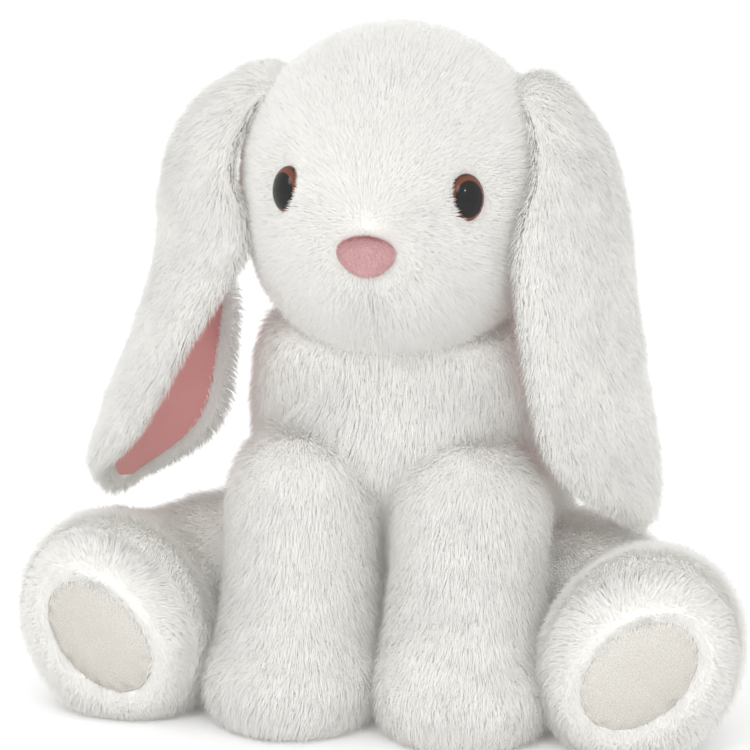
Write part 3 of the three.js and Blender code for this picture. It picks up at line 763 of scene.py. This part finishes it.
def curved(stations, samples=601):
    """Close points on a centripetal curve through the stations, evenly spaced between each two of them."""
    s = np.array(stations, float)
    s = np.vstack([2 * s[0] - s[1], s, 2 * s[-1] - s[-2]])
    place = np.linspace(0, len(stations) - 1, samples)
    k = np.minimum(place.astype(int), len(stations) - 2)
    t = (place - k)[:, None]
    p0, p1, p2, p3 = s[k], s[k + 1], s[k + 2], s[k + 3]
    a, b, c = (np.sqrt(np.linalg.norm(q - p, axis=1))[:, None] for p, q in ((p0, p1), (p1, p2), (p2, p3)))
    m1 = ((p1 - p0) / a - (p2 - p0) / (a + b) + (p2 - p1) / b) * b
    m2 = ((p2 - p1) / b - (p3 - p1) / (b + c) + (p3 - p2) / c) * b
    return (p1 * (2 * t**3 - 3 * t**2 + 1) + m1 * (t**3 - 2 * t**2 + t)
            + p2 * (3 * t**2 - 2 * t**3) + m2 * (t**3 - t**2))


def sampled(values, at):
    """Rows of values read at shares from 0 to 1 of their number."""
    values = np.asarray(values, float).reshape(len(values), -1)
    place = np.clip(at, 0, 1) * (len(values) - 1)
    return np.stack([np.interp(place, np.arange(len(values)), column) for column in values.T], -1)


def hind_leg_line(side):
    hip = np.array([side * HIP_SPACING / 2, HIP_BACK, foot_rise])
    foot = np.array([side * FOOT_SPACING / 2, -FOOT_FORWARD, foot_rise])
    knee = (hip + foot) / 2 + (side * 9, 0, 0)
    sole = foot + (side * 5, -SOLE_REACH, 0)
    return curved([hip, knee, foot, sole])


def hind_leg_row(centre, tangent, side, degrees, long, wide):
    tilt = math.radians(degrees)
    upright = np.array([0, 0, 1.0])
    outward = unit(np.cross(upright, tangent)) * side
    across = upright * math.cos(tilt) + outward * math.sin(tilt)
    over = -upright * math.sin(tilt) + outward * math.cos(tilt)
    return [centre, across * long, over * wide]


def hind_leg_form(side):
    line = hind_leg_line(side)
    heading = unit(np.gradient(line, axis=0))
    rows = []
    for degrees in (0, 24, 46, 68, 90):
        angle = math.radians(degrees)
        radius = HIP_RADIUS * math.sin(angle)
        centre = line[0] - heading[0] * HIP_RADIUS * math.cos(angle)
        rows.append(hind_leg_row(centre, heading[0], side, FOOT_TILT, radius, radius))
    shares = ((0.2, 0.82), (0.36, 0.74), (0.5, 0.8), (0.64, 0.93), (0.75, 1), (0.86, 0.96), (0.95, 0.85),
              (0.99, 0.68), (1, 0.42), (1, 0))
    for at, share in shares:
        centre, tangent = sampled(line, at), unit(sampled(heading, at))
        rows.append(hind_leg_row(centre, tangent, side, FOOT_TILT, share * FOOT_LENGTH / 2, share * FOOT_WIDTH / 2))
    points, faces = lofted(faired(rows, 90), 100)
    points[:, 2] = np.maximum(points[:, 2], 0)
    return points, faces, line[-1], heading[-1]


pad_velour, tree = material("pad_velour")
where = tree.add("ShaderNodeTexCoord", out="Object")
nap = noise(tree, where, 0.0007, 3, 0.6)
brushed = noise(tree, where, 0.009, 2)
rubbed = noise(tree, where, 0.028, 1)
shader = tree.add("ShaderNodeBsdfPrincipled", {}, {
    "Base Color": mixed(tree, nap * 0.45 + brushed * 0.35 + rubbed * 0.2, (0.66, 0.63, 0.58), (0.78, 0.76, 0.71)),
    "Roughness": 0.88,
    "Specular IOR Level": 0.2,
    "Sheen Weight": 0.15,
    "Normal": tree.add("ShaderNodeBump", {}, {"Strength": 0.35, "Distance": 0.0003, "Height": nap + brushed * 0.5}),
})
finish_surface(tree, shader)



def nap_surface(name, low, high):
    """A very short pile in colours between two."""
    made, tree = material(name)
    strand = tree.add("ShaderNodeUVMap", {"uv_map": "OFBake"})
    tint = tree.add("ShaderNodeSeparateXYZ", {}, {"Vector": strand}, out="X")
    shader = tree.add("ShaderNodeBsdfPrincipled", {}, {
        "Base Color": mixed(tree, tint, low, high),
        "Roughness": 0.85,
        "Specular IOR Level": 0.15,
    })
    finish_surface(tree, shader)
    return made


pad_nap = nap_surface("pad_nap", (0.83, 0.80, 0.745), (0.93, 0.915, 0.875))

PAD_CROWN = 2.2
PAD_NAP = 1.3
PAD_RINGS = 26
PAD_AROUND = 96


def foot_pad(side, name, points, faces, sole, heading):
    """An oval of velour let into the sole, crowned over its filling and drawn in along its seam."""
    _, across, over = hind_leg_row(sole, heading, side, PAD_TILT, 1, 1)
    ground = BVHTree.FromPolygons([Vector(p) for p in points], faces)
    shell = []
    for height, rings in ((1, PAD_RINGS), (-1, 6)):
        for ring in range(rings):
            share = ring / rings if height > 0 else 1 - (ring + 1) / rings
            for k in range(PAD_AROUND):
                turn = 2 * math.pi * k / PAD_AROUND
                radius = max(share, 0.0)
                spot = (sole + across * PAD_LENGTH / 2 * radius * math.cos(turn)
                        + over * PAD_WIDTH / 2 * radius * math.sin(turn))
                hit, normal, _, _ = ground.ray_cast(Vector(spot + heading * 40), Vector(-heading))
                bulge = PAD_CROWN * (1 - radius**3.2) + 0.9 * (1 - radius**14)
                pucker = 0.35 * math.sin(turn * 17 + 2 * math.sin(turn * 3))
                pucker = pucker * smooth_step(0.72, 0.97, radius) * (1 - radius**20)
                raised = (0.2 + bulge + pucker) if height > 0 else -1.2
                shell.append(np.array(hit) + np.array(normal) * raised)
    count = PAD_RINGS + 6
    quads = []
    for ring in range(count - 1):
        low, high = ring * PAD_AROUND, (ring + 1) * PAD_AROUND
        quads += [(low + k, low + (k + 1) % PAD_AROUND, high + (k + 1) % PAD_AROUND, high + k)
                  for k in range(PAD_AROUND)]
    shell = np.array(shell)
    made = mesh_object(name, shell + (0, to_middle, 0), outward_faces(shell, quads), pad_velour)
    closed = bmesh.new()
    closed.from_mesh(made.data)
    bmesh.ops.remove_doubles(closed, verts=closed.verts, dist=1e-5)
    bmesh.ops.recalc_face_normals(closed, faces=closed.faces)
    closed.to_mesh(made.data)
    closed.free()
    return made, across, over


for name, side in (("left", 1), ("right", -1)):
    points, faces, sole, heading = hind_leg_form(side)
    line = hind_leg_line(side)
    _, pad_across, pad_over = hind_leg_row(sole, heading, side, PAD_TILT, 1, 1)
    from_pad = points - sole
    oval = np.hypot((from_pad @ pad_across) / (PAD_LENGTH / 2), (from_pad @ pad_over) / (PAD_WIDTH / 2))
    ahead = from_pad @ heading
    on_sole = smooth_step(-22, -6, ahead)
    inside_pad = smooth_step(1.16, 1.02, oval) * on_sole
    swell = UNDERCOAT * (1 - inside_pad) * smooth_step(0.4, 8, points[:, 2])
    points = puffed(points, faces, swell)
    nearest = np.array([np.argmin(np.linalg.norm(line - p, axis=1)) for p in points])
    onward = unit(np.gradient(line, axis=0))[nearest]
    radial = unit(from_pad - heading * ahead[:, None])
    combed_out = lerp(-0.15, 0.75, smooth_step(1.0, 1.22, oval))[:, None]
    lay = onward * (1 - on_sole[:, None]) + radial * on_sole[:, None] * combed_out + (0, 0, -0.35)
    share = smooth_step(0.97, 1.03, np.where(on_sole > 0.5, oval, 2)) * smooth_step(0.05, 1.5, points[:, 2])
    share = share * smooth_step(-6, 14, (points - line[0]) @ unit(line[1] - line[0]) + 12)
    long = LEG_PILE * lerp(1, 0.45, on_sole * smooth_step(1.6, 1.05, oval))
    skin = cover(f"hind_leg_{name}_cover", f"hind_leg_{name}", points, faces, f"hind_leg_{name}_skin", long, lay,
                 share=share)
    pile(f"hind_leg_{name}_pile", f"hind_leg_{name}", skin, 86000)
    pad, across, over = foot_pad(side, f"foot_{name}_pad", points, faces, sole, heading)
    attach(pad, f"hind_leg_{name}")
    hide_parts(f"foot_pad_{name}")
    out = np.zeros(len(pad.data.vertices) * 3)
    pad.data.vertices.foreach_get("normal", out)
    out = out.reshape(-1, 3)
    shows = smooth_step(0.5, 0.8, out @ heading)
    combed(pad, out, PAD_NAP, pad_over * -1, share=shows)
    pile(f"foot_{name}_nap", f"hind_leg_{name}", pad, 12000, width=0.24, scatter=0.16, tuft=6, pull=0.16, lean=0.85,
         finish=pad_nap)

# ---------------------------------------------------------------- front legs
# Straight bags of plush hung from the shoulder seams, which swell to a round paw that stands on the table.

FRONT_LEG_RADIUS = 25
FRONT_LEG_SPACING = 68
SHOULDER_HEIGHT = 86
SHOULDER_FORWARD = 44
PAW_WIDTH = 60
PAW_FORWARD = 20
PAW_OUTWARD = 1
PAW_PRESSED = 3.2  # what is left of the pile under the paw


def front_leg_form(side):
    x = side * FRONT_LEG_SPACING / 2
    paw_x = x + side * PAW_OUTWARD
    y = -SHOULDER_FORWARD
    rows = [level_row(x, y, SHOULDER_HEIGHT + FRONT_LEG_RADIUS, 0)]
    for degrees in (25, 48, 70, 90):
        angle = math.radians(degrees)
        height = SHOULDER_HEIGHT + FRONT_LEG_RADIUS * math.cos(angle)
        rows.append(level_row(x, y, height, FRONT_LEG_RADIUS * math.sin(angle)))
    half, slim = PAW_WIDTH / 2, 0.97 * FRONT_LEG_RADIUS
    rows += [
        level_row(x, y - 0.2 * PAW_FORWARD, 0.77 * SHOULDER_HEIGHT, slim),
        level_row(x, y - 0.45 * PAW_FORWARD, 0.55 * SHOULDER_HEIGHT, slim + 1),
        level_row((x + paw_x) / 2, y - 0.75 * PAW_FORWARD, 0.37 * SHOULDER_HEIGHT, 0.9 * half),
        level_row(paw_x, y - PAW_FORWARD, 0.23 * SHOULDER_HEIGHT, half),
        level_row(paw_x, y - PAW_FORWARD, 0.11 * SHOULDER_HEIGHT, 0.97 * half),
        level_row(paw_x, y - PAW_FORWARD, 0.035 * SHOULDER_HEIGHT, 0.86 * half),
        level_row(paw_x, y - PAW_FORWARD, 0, 0.72 * half),
        level_row(paw_x, y - PAW_FORWARD, 0, 0),
    ]
    return lofted(faired(rows, 90), 90)


for name, side in (("left", 1), ("right", -1)):
    points, faces = front_leg_form(side)
    points = puffed(points, faces, UNDERCOAT * smooth_step(0.4, 8, points[:, 2]))
    points[:, 2] = np.maximum(points[:, 2], PAW_PRESSED)
    on_paw = smooth_step(45, 12, points[:, 2])[:, None]
    lay = np.array([0, 0, -1.0]) + on_paw * (side * 0.1, -0.5, 0.25)
    skin = cover(f"front_leg_{name}_cover", f"front_leg_{name}", points, faces, f"front_leg_{name}_skin",
                 LEG_PILE, lay)
    pile(f"front_leg_{name}_pile", f"front_leg_{name}", skin, 86000)

# ---------------------------------------------------------------- head
# A full ball of the same plush, sheared short over the face, with a little muzzle drawn in by a thread below
# the nose. It is closed round the neck.

HEAD_WIDTH = 112
HEAD_HEIGHT = 112
MUZZLE_REACH = 13
MUZZLE_WIDTH = 30
MUZZLE_HEIGHT = 26
MUZZLE_DROP = 23
FACE_PILE = 6.0
CROWN_PILE = 9.0
EYE_WIDTH = 14.5
EYE_HEIGHT = 18.5
EYE_DOME = 6
EYE_SPACING = 69
EYE_RISE = 3.5
NOSE_WIDTH = 22
NOSE_HEIGHT = 16
NOSE_PADDING = 4
NOSE_DROP = 17
CLEFT_DEPTH = 3.4
JOWL_DROP = 5

head_bottom = BODY_HEIGHT - NECK_DEPTH
head_middle = np.array([0, neck_y, head_bottom + HEAD_HEIGHT / 2])
eye_z = head_middle[2] + EYE_RISE
nose_z = head_middle[2] - NOSE_DROP


def muzzle(x, z):
    up = (z - head_middle[2] + MUZZLE_DROP) / MUZZLE_HEIGHT
    return MUZZLE_REACH * np.exp(-(x / MUZZLE_WIDTH) ** 2 - up**2)


def face_y(x, z):
    bulge = math.sqrt(max(0, 1 - (2 * x / HEAD_WIDTH) ** 2 - (2 * (z - head_middle[2]) / HEAD_HEIGHT) ** 2))
    return float(head_middle[1] - bulge * HEAD_DEPTH / 2 - muzzle(x, z) * smooth_step(0, 0.5, bulge))


def face_seat(x, z):
    """Where a piece sits on the face: its place, and the sideways, upward and outward directions there."""
    slope_x = (face_y(x + 1, z) - face_y(x - 1, z)) / 2
    slope_z = (face_y(x, z + 1) - face_y(x, z - 1)) / 2
    out = unit(np.array([slope_x, -1, slope_z]))
    sideways = unit(np.cross((0, 0, 1), out))
    return np.array([x, face_y(x, z), z]), sideways, np.cross(out, sideways), out


head_points, head_faces = globe((HEAD_WIDTH / 2, HEAD_DEPTH / 2, HEAD_HEIGHT / 2), head_middle, 160, 110)
forward = (head_middle[1] - head_points[:, 1]) / (HEAD_DEPTH / 2)
head_points[:, 1] -= muzzle(head_points[:, 0], head_points[:, 2]) * smooth_step(0, 0.5, forward)
below_nose = smooth_step(nose_z - 4, nose_z - 14, head_points[:, 2])
below_nose = below_nose * smooth_step(head_bottom + 6, head_bottom + 20, head_points[:, 2])
cleft = CLEFT_DEPTH * np.exp(-(head_points[:, 0] / 2.6) ** 2) * below_nose * smooth_step(0.3, 0.8, forward)
lobes = 2.2 * np.exp(-((np.abs(head_points[:, 0]) - 12) / 9) ** 2) * below_nose * smooth_step(0.3, 0.8, forward)
head_points[:, 1] += cleft - lobes
low_face = smooth_step(-0.1, -0.8, (head_points[:, 2] - head_middle[2]) / (HEAD_HEIGHT / 2))
low_face = low_face * smooth_step(-0.35, 0.5, forward)
head_points[:, 2] -= JOWL_DROP * low_face
head_points[:, 1] -= 2.5 * low_face
head_points[:, 0] *= 1 + 0.03 * low_face

eye_seats = {name: face_seat(x, eye_z) for name, x in (("left", EYE_SPACING / 2), ("right", -EYE_SPACING / 2))}
nose_seat = face_seat(0, nose_z)


def oval_from(seat, points, half_width, half_height):
    """How many half sizes each point is from a piece on the face."""
    gap = points - seat[0]
    flat = np.hypot(gap @ seat[1] / half_width, gap @ seat[2] / half_height)
    return np.where(np.abs(gap @ seat[3]) < 14, flat, 9)


near_eye = np.minimum(*[oval_from(seat, head_points, EYE_WIDTH / 2, EYE_HEIGHT / 2) for seat in eye_seats.values()])
near_nose = oval_from(nose_seat, head_points, NOSE_WIDTH / 2, NOSE_HEIGHT / 2)
in_neck = np.hypot(head_points[:, 0], head_points[:, 1] - neck_y) < NECK_RADIUS - 2
low_neck = in_neck & (head_points[:, 2] < head_bottom + 14)
open_face = smooth_step(1.0, 1.9, near_eye) * smooth_step(0.8, 1.7, near_nose)
nasal = np.zeros(len(head_points))
for name, seat in eye_seats.items():
    inward = -1 if name == "left" else 1
    away = unit(head_points - seat[0])
    toward = np.clip(away @ (seat[1] * inward * 0.8 - seat[2] * 0.6), 0, 1)
    ring = oval_from(seat, head_points, EYE_WIDTH / 2, EYE_HEIGHT / 2)
    nasal = np.maximum(nasal, toward * smooth_step(0.9, 1.15, ring) * smooth_step(2.2, 1.3, ring))
head_points = puffed(head_points, head_faces, UNDERCOAT * (0.1 + 0.9 * open_face) + 1.5 * nasal)
bridge = nose_seat[0] + (0, 0, 10)
from_nose = unit(head_points - bridge)
back_of_head = smooth_step(0.1, -0.5, forward)[:, None]
head_lay = from_nose * (1 - back_of_head) + np.array([0, 0.15, -1.0]) * back_of_head + (0, 0, -0.22)
face_share = smooth_step(0.25, 0.85, forward)
long = lerp(CROWN_PILE, FACE_PILE, face_share)
long = long * lerp(lerp(0.5, 0.95, nasal), 1, smooth_step(1.0, 2.0, near_eye))
long = long * lerp(0.5, 1, smooth_step(0.9, 2.0, near_nose))
long = long + 4.5 * low_face
share = np.where(low_neck, 0, smooth_step(0.8, 0.98, near_eye) * smooth_step(0.84, 1.0, near_nose))
head_cover = cover("head_cover", "head", head_points, head_faces, "head_skin", long, head_lay, share=share)
facing_front = (forward > 0.05).astype(float)
pile("face_pile", "head", head_cover, 98000, facing_front, width=0.27, scatter=0.14, tuft=7, pull=0.17, lean=0.8)
pile("crown_pile", "head", head_cover, 54000, 1 - facing_front)

# ---------------------------------------------------------------- eyes
# Domed safety eyes of polished plastic: a brown iris round a black pupil under a clear dome. The shank goes
# through the skin to a washer pressed on inside.

IRIS_BROWN = (0.15, 0.045, 0.022)
IRIS_DARK = (0.07, 0.025, 0.015)
PUPIL_SHARE = 0.78
PUPIL_MIDDLE = (0.455, 0.48, 0.0)  # a little off the middle of the dome, (0.5, 0.5)

eye_gloss, tree = material("eye_gloss")
plan = tree.add("ShaderNodeUVMap", {"uv_map": "eye_plan"})
off_pupil = plan - PUPIL_MIDDLE
from_middle = tree.add("ShaderNodeVectorMath", {"operation": "LENGTH"}, {0: off_pupil}, out="Value") * 2.0
ring = from_middle.ramp(PUPIL_SHARE - 0.03, PUPIL_SHARE + 0.03)
rim = from_middle.ramp(0.9, 1.0)
iris = mixed(tree, rim, IRIS_BROWN, IRIS_DARK)
shader = tree.add("ShaderNodeBsdfPrincipled", {}, {
    "Base Color": mixed(tree, ring, (0.008, 0.007, 0.007), iris),
    "Roughness": 0.3,
    "Specular IOR Level": 0.1,
    "Coat Weight": 0.45,
    "Coat Roughness": 0.02,
})
finish_surface(tree, shader)


def domed(name, seat, half_width, half_height, profile, around, surface, taper=0.0, outer=1):
    """A round or oval piece standing on the face, from rings of (share of its size, height)."""
    place, sideways, up, out = seat
    points = [place + out * profile[0][1]]
    plan = [(0.5, 0.5)]
    for share, height in profile[1:-1]:
        for k in range(around):
            turn = 2 * math.pi * k / around
            x, y = share * math.cos(turn), share * math.sin(turn)
            points.append(place + sideways * x * half_width * (1 + taper * y) + up * y * half_height + out * height)
            plan.append((0.5 + outer * x / 2, 0.5 + y / 2))
    points.append(place + out * profile[-1][1])
    plan.append((0.5, 0.5))
    faces = [(0, 1 + (k + 1) % around, 1 + k) for k in range(around)]
    for ring in range(len(profile) - 3):
        low, high = 1 + ring * around, 1 + (ring + 1) * around
        faces += [(low + k, low + (k + 1) % around, high + (k + 1) % around, high + k) for k in range(around)]
    last, pole = 1 + (len(profile) - 3) * around, len(points) - 1
    faces += [(last + k, last + (k + 1) % around, pole) for k in range(around)]
    points = np.array(points)
    faces = outward_faces(points, faces)
    made = mesh_object(name, points + (0, to_middle, 0), faces, surface)
    chart = made.data.uv_layers.new(name="eye_plan")
    chart.data.foreach_set("uv", np.array([plan[loop.vertex_index] for loop in made.data.loops], np.float32).ravel())
    return made


EYE_RIM = 1.3
angles = np.linspace(0, math.pi / 2, 14)
eye_profile = [(0, 0.3), (0.94, 0.3), (0.99, 0.5)]
eye_profile += [(math.cos(a) ** 0.9, EYE_RIM + (EYE_DOME + 0.3 - EYE_RIM) * math.sin(a)) for a in angles[:-1]]
eye_profile += [(0, EYE_DOME + 0.3)]
for name, seat in eye_seats.items():
    outer = 1 if name == "left" else -1
    dome = domed(f"eye_{name}_dome", seat, EYE_WIDTH / 2, EYE_HEIGHT / 2, eye_profile, 64, eye_gloss, outer=outer)
    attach(dome, "head")
    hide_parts(f"eye_{name}")

washer_plastic, tree = material("washer_plastic")
where = tree.add("ShaderNodeTexCoord", out="Object")
grain = noise(tree, where, 0.0008)
shader = tree.add("ShaderNodeBsdfPrincipled", {}, {
    "Base Color": mixed(tree, grain, (0.78, 0.78, 0.77), (0.86, 0.86, 0.85)),
    "Roughness": 0.5,
    "Normal": tree.add("ShaderNodeBump", {}, {"Strength": 0.1, "Distance": 0.0002, "Height": grain}),
})
finish_surface(tree, shader)
refinish("eye_washer_left", washer_plastic)
refinish("eye_washer_right", washer_plastic)

# ---------------------------------------------------------------- nose
# A small oval of pink velour over a pinch of fibre, its edge turned under and sewn down.

nose_velour, tree = material("nose_velour")
where = tree.add("ShaderNodeTexCoord", out="Object")
nap = noise(tree, where, 0.0006, 3, 0.65)
brushed = noise(tree, where, 0.004, 2)
plan = tree.add("ShaderNodeUVMap", {"uv_map": "eye_plan"})
off_middle = plan - (0.5, 0.5, 0.0)
out_to_edge = tree.add("ShaderNodeVectorMath", {"operation": "LENGTH"}, {0: off_middle}, out="Value") * 2.0
velour = mixed(tree, nap * 0.6 + brushed * 0.4, (0.50, 0.25, 0.26), (0.66, 0.39, 0.40))
shader = tree.add("ShaderNodeBsdfPrincipled", {}, {
    "Base Color": mixed(tree, out_to_edge.ramp(0.84, 1.0), velour, (0.45, 0.15, 0.16)),
    "Roughness": 0.8,
    "Sheen Weight": 0.25,
    "Sheen Tint": (1.0, 0.86, 0.86),
    "Normal": tree.add("ShaderNodeBump", {}, {"Strength": 0.45, "Distance": 0.0004, "Height": nap + brushed * 0.6}),
})
finish_surface(tree, shader)

NOSE_STAND = 1.6
NOSE_NAP = 1.1
nose_nap = nap_surface("nose_nap", (0.68, 0.35, 0.36), (0.88, 0.58, 0.585))
nose_profile = [(0, -2.0), (0.8, -2.0), (0.95, -1.2)]
nose_profile += [(math.cos(a) ** 0.75, NOSE_STAND - 1.6 + (NOSE_PADDING + 0.8) * math.sin(a)) for a in angles[:-1]]
nose_profile += [(0, NOSE_STAND - 0.8 + NOSE_PADDING)]
nose = domed("nose_patch", nose_seat, NOSE_WIDTH / 2, NOSE_HEIGHT / 2, nose_profile, 72, nose_velour, taper=0.22)
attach(nose, "head")
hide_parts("nose")
nose_out = np.zeros(len(nose.data.vertices) * 3)
nose.data.vertices.foreach_get("normal", nose_out)
nose_out = nose_out.reshape(-1, 3)
combed(nose, nose_out, NOSE_NAP, (0, 0, -1), share=smooth_step(-0.1, 0.3, nose_out @ nose_seat[3]))
pile("nose_nap", "head", nose, 9000, width=0.17, scatter=0.25, tuft=2.5, pull=0.3, lean=0.7,
     finish=nose_nap)

# ---------------------------------------------------------------- ears
# Each is a long flat lobe of plush with a pink lining let into its hollow side, inside a white hem. It is
# gathered into the seam at the top of the head and hangs from there, a little cupped, to just above the foot.

EAR_WIDTH = 76
EAR_THICKNESS = 4
EAR_LINING = 1.6
EAR_LINING_INSET = 5
EAR_ROOT_WIDTH = 28
EAR_ROOT_SPACING = 88
EAR_ROOT_STANDOFF = 1
EAR_TIP_CLEARANCE = 7
EAR_PILE = 8.5

ear_root_rise = HEAD_HEIGHT / 2 * math.sqrt(1 - (EAR_ROOT_SPACING / HEAD_WIDTH) ** 2)
ear_root_z = head_middle[2] + ear_root_rise + EAR_ROOT_STANDOFF
ear_root_y = neck_y + 4
ear_tip_z = foot_rise + foot_half_height + EAR_TIP_CLEARANCE
ear_hang = {
    "left": {"side": 1, "mid": 36, "tip": 54, "turns": (0, 14, 20, 20, 18, 15), "cups": (26, 45, 55, 50, 46, 46)},
    "right": {"side": -1, "mid": 46, "tip": 76, "turns": (0, 24, 34, -4, -22, -34), "cups": (26, 50, 46, 33, 29, 33)},
}


def ear_line(mid, tip):
    root = EAR_ROOT_SPACING / 2
    drop = ear_root_z - ear_tip_z
    return curved([
        (root, ear_root_y, ear_root_z),
        (root + 10, ear_root_y, ear_root_z + 3),
        (root + 0.6 * mid, ear_root_y - 3, ear_root_z - 0.05 * drop),
        (root + 0.88 * mid, ear_root_y - 7, ear_root_z - 0.16 * drop),
        (root + mid, ear_root_y - 9, ear_root_z - 0.34 * drop),
        (root + 0.75 * mid + 0.25 * tip, ear_root_y - 9, ear_root_z - 0.54 * drop),
        (root + 0.35 * mid + 0.65 * tip, ear_root_y - 6, ear_root_z - 0.77 * drop),
        (root + tip, ear_root_y, ear_tip_z),
    ], 1401)


def ear_half_width(along):
    rounded = np.sqrt(np.maximum(1 - smooth_step(0, 1, (along - 0.7) / 0.3) ** 2 * 0.995, 0))
    return lerp(EAR_ROOT_WIDTH, EAR_WIDTH, smooth_step(0, 0.42, along)) / 2 * rounded


def ear_point(hang, along, beside, height):
    """A point of the ear: its share of the length, its distance from the middle line, and its height over it."""
    line = ear_line(hang["mid"], hang["tip"])
    steps = np.linalg.norm(np.diff(line, axis=0), axis=1)
    travelled = np.concatenate([[0], np.cumsum(steps)])
    index = np.interp(along * travelled[-1], travelled, np.arange(len(line))) / (len(line) - 1)
    middle = sampled(line, index)
    heading = unit(sampled(unit(np.gradient(line, axis=0)), index))
    turn = np.radians(sampled(hang["turns"], along))
    front = np.array([0, -1.0, 0])
    across = unit(np.cross(heading, front) * np.sin(turn) + front * np.cos(turn))
    outward = unit(np.cross(across, heading))
    cup = sampled(hang["cups"], along)
    bend = beside[:, None] / cup
    lift = height[:, None]
    made = middle + across * (cup + lift) * np.sin(bend) + outward * ((cup + lift) * np.cos(bend) - cup)
    mirror = np.array([hang["side"], 1, 1])
    return made * mirror, heading * mirror, outward * mirror, across * mirror


def ear_grid(low, high, inset, first, last, rows, around):
    """The share along, distance beside and height of a closed flat lobe, ring by ring."""
    turn = np.arange(around) * 2 * math.pi / around
    flat = np.sign(np.cos(turn)) * np.abs(np.cos(turn)) ** 0.75
    rise = np.sign(np.sin(turn)) * np.abs(np.sin(turn)) ** 0.5
    along = lerp(first, last, np.sin(np.linspace(0, 1, rows) * math.pi / 2) ** 0.9)
    half = np.maximum(ear_half_width(along) - inset, 0.6)
    return along, half, flat, rise, (low + high) / 2, (high - low) / 2


def ear_lobe(hang, low, high, inset, first, last, rows, around):
    along, half, flat, rise, level, thick = ear_grid(low, high, inset, first, last, rows, around)
    along_all = np.repeat(along, around)
    beside = np.outer(half, flat).ravel()
    height = level + thick * np.tile(rise, rows)
    ends = (along[[0, -1]], np.zeros(2), np.full(2, level))
    along_all = np.concatenate([ends[0][:1], along_all, ends[0][1:]])
    beside = np.concatenate([[0], beside, [0]])
    height = np.concatenate([[level], height, [level]])
    placed, heading, outward, across = ear_point(hang, along_all, beside, height)
    faces = [(0, 1 + (i + 1) % around, 1 + i) for i in range(around)]
    for j in range(rows - 1):
        a, b = 1 + j * around, 1 + (j + 1) * around
        faces += [(a + i, a + (i + 1) % around, b + (i + 1) % around, b + i) for i in range(around)]
    last_ring, pole = 1 + (rows - 1) * around, len(placed) - 1
    faces += [(last_ring + i, last_ring + (i + 1) % around, pole) for i in range(around)]
    return placed, outward_faces(placed, faces), along_all, beside, height, heading, outward, across


lining_velour, tree = material("lining_velour")
where = tree.add("ShaderNodeTexCoord", out="Object")
nap = noise(tree, where, 0.0008, 3, 0.6)
brushed = noise(tree, where, 0.012, 2)
shader = tree.add("ShaderNodeBsdfPrincipled", {}, {
    "Base Color": mixed(tree, nap * 0.4 + brushed * 0.6, (0.62, 0.27, 0.265), (0.74, 0.37, 0.36)),
    "Roughness": 0.75,
    "Sheen Weight": 0.2,
    "Normal": tree.add("ShaderNodeBump", {}, {"Strength": 0.25, "Distance": 0.0003, "Height": nap}),
})
finish_surface(tree, shader)

for name, hang in ear_hang.items():
    half = EAR_THICKNESS / 2
    points, faces, along, beside, height, heading, outward, across = ear_lobe(hang, -half, half, 0, 0, 1, 110, 72)
    inner = smooth_step(0.2, -0.6, height / half)
    edge = np.clip(np.abs(beside) / np.maximum(ear_half_width(along), 1), 0, 1)
    hem = np.maximum(ear_half_width(along) - np.abs(beside), 0)
    in_lining = smooth_step(EAR_LINING_INSET - 1.5, EAR_LINING_INSET + 0.5, hem) * inner
    in_lining = in_lining * smooth_step(0.05, 0.1, along)
    points = puffed(points, faces, 1.2 * (1 - inner) * smooth_step(0.02, 0.1, along))
    sideways = across * np.sign(beside)[:, None]
    rim = (smooth_step(0.8, 1, edge) * 0.55 + inner * 0.8)[:, None]
    lay = heading * 0.9 + sideways * rim + (0, 0, -0.2)
    long = EAR_PILE * lerp(1, 0.6, inner) * lerp(0.75, 1, smooth_step(0, 0.08, along))
    skin = cover(f"ear_{name}_cover", f"ear_{name}", points, faces, f"ear_{name}_plush", long, lay,
                 share=1 - in_lining)
    pile(f"ear_{name}_pile", f"ear_{name}", skin, 88000)
    low = -half - 0.4 - EAR_LINING
    made = ear_lobe(hang, low, -half + 0.6, EAR_LINING_INSET - 1.5, 0.06, 0.975, 90, 56)
    lining = mesh_object(f"ear_{name}_inside", made[0] + (0, to_middle, 0), made[1], lining_velour)
    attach(lining, f"ear_{name}")
    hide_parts(f"ear_{name}_lining")
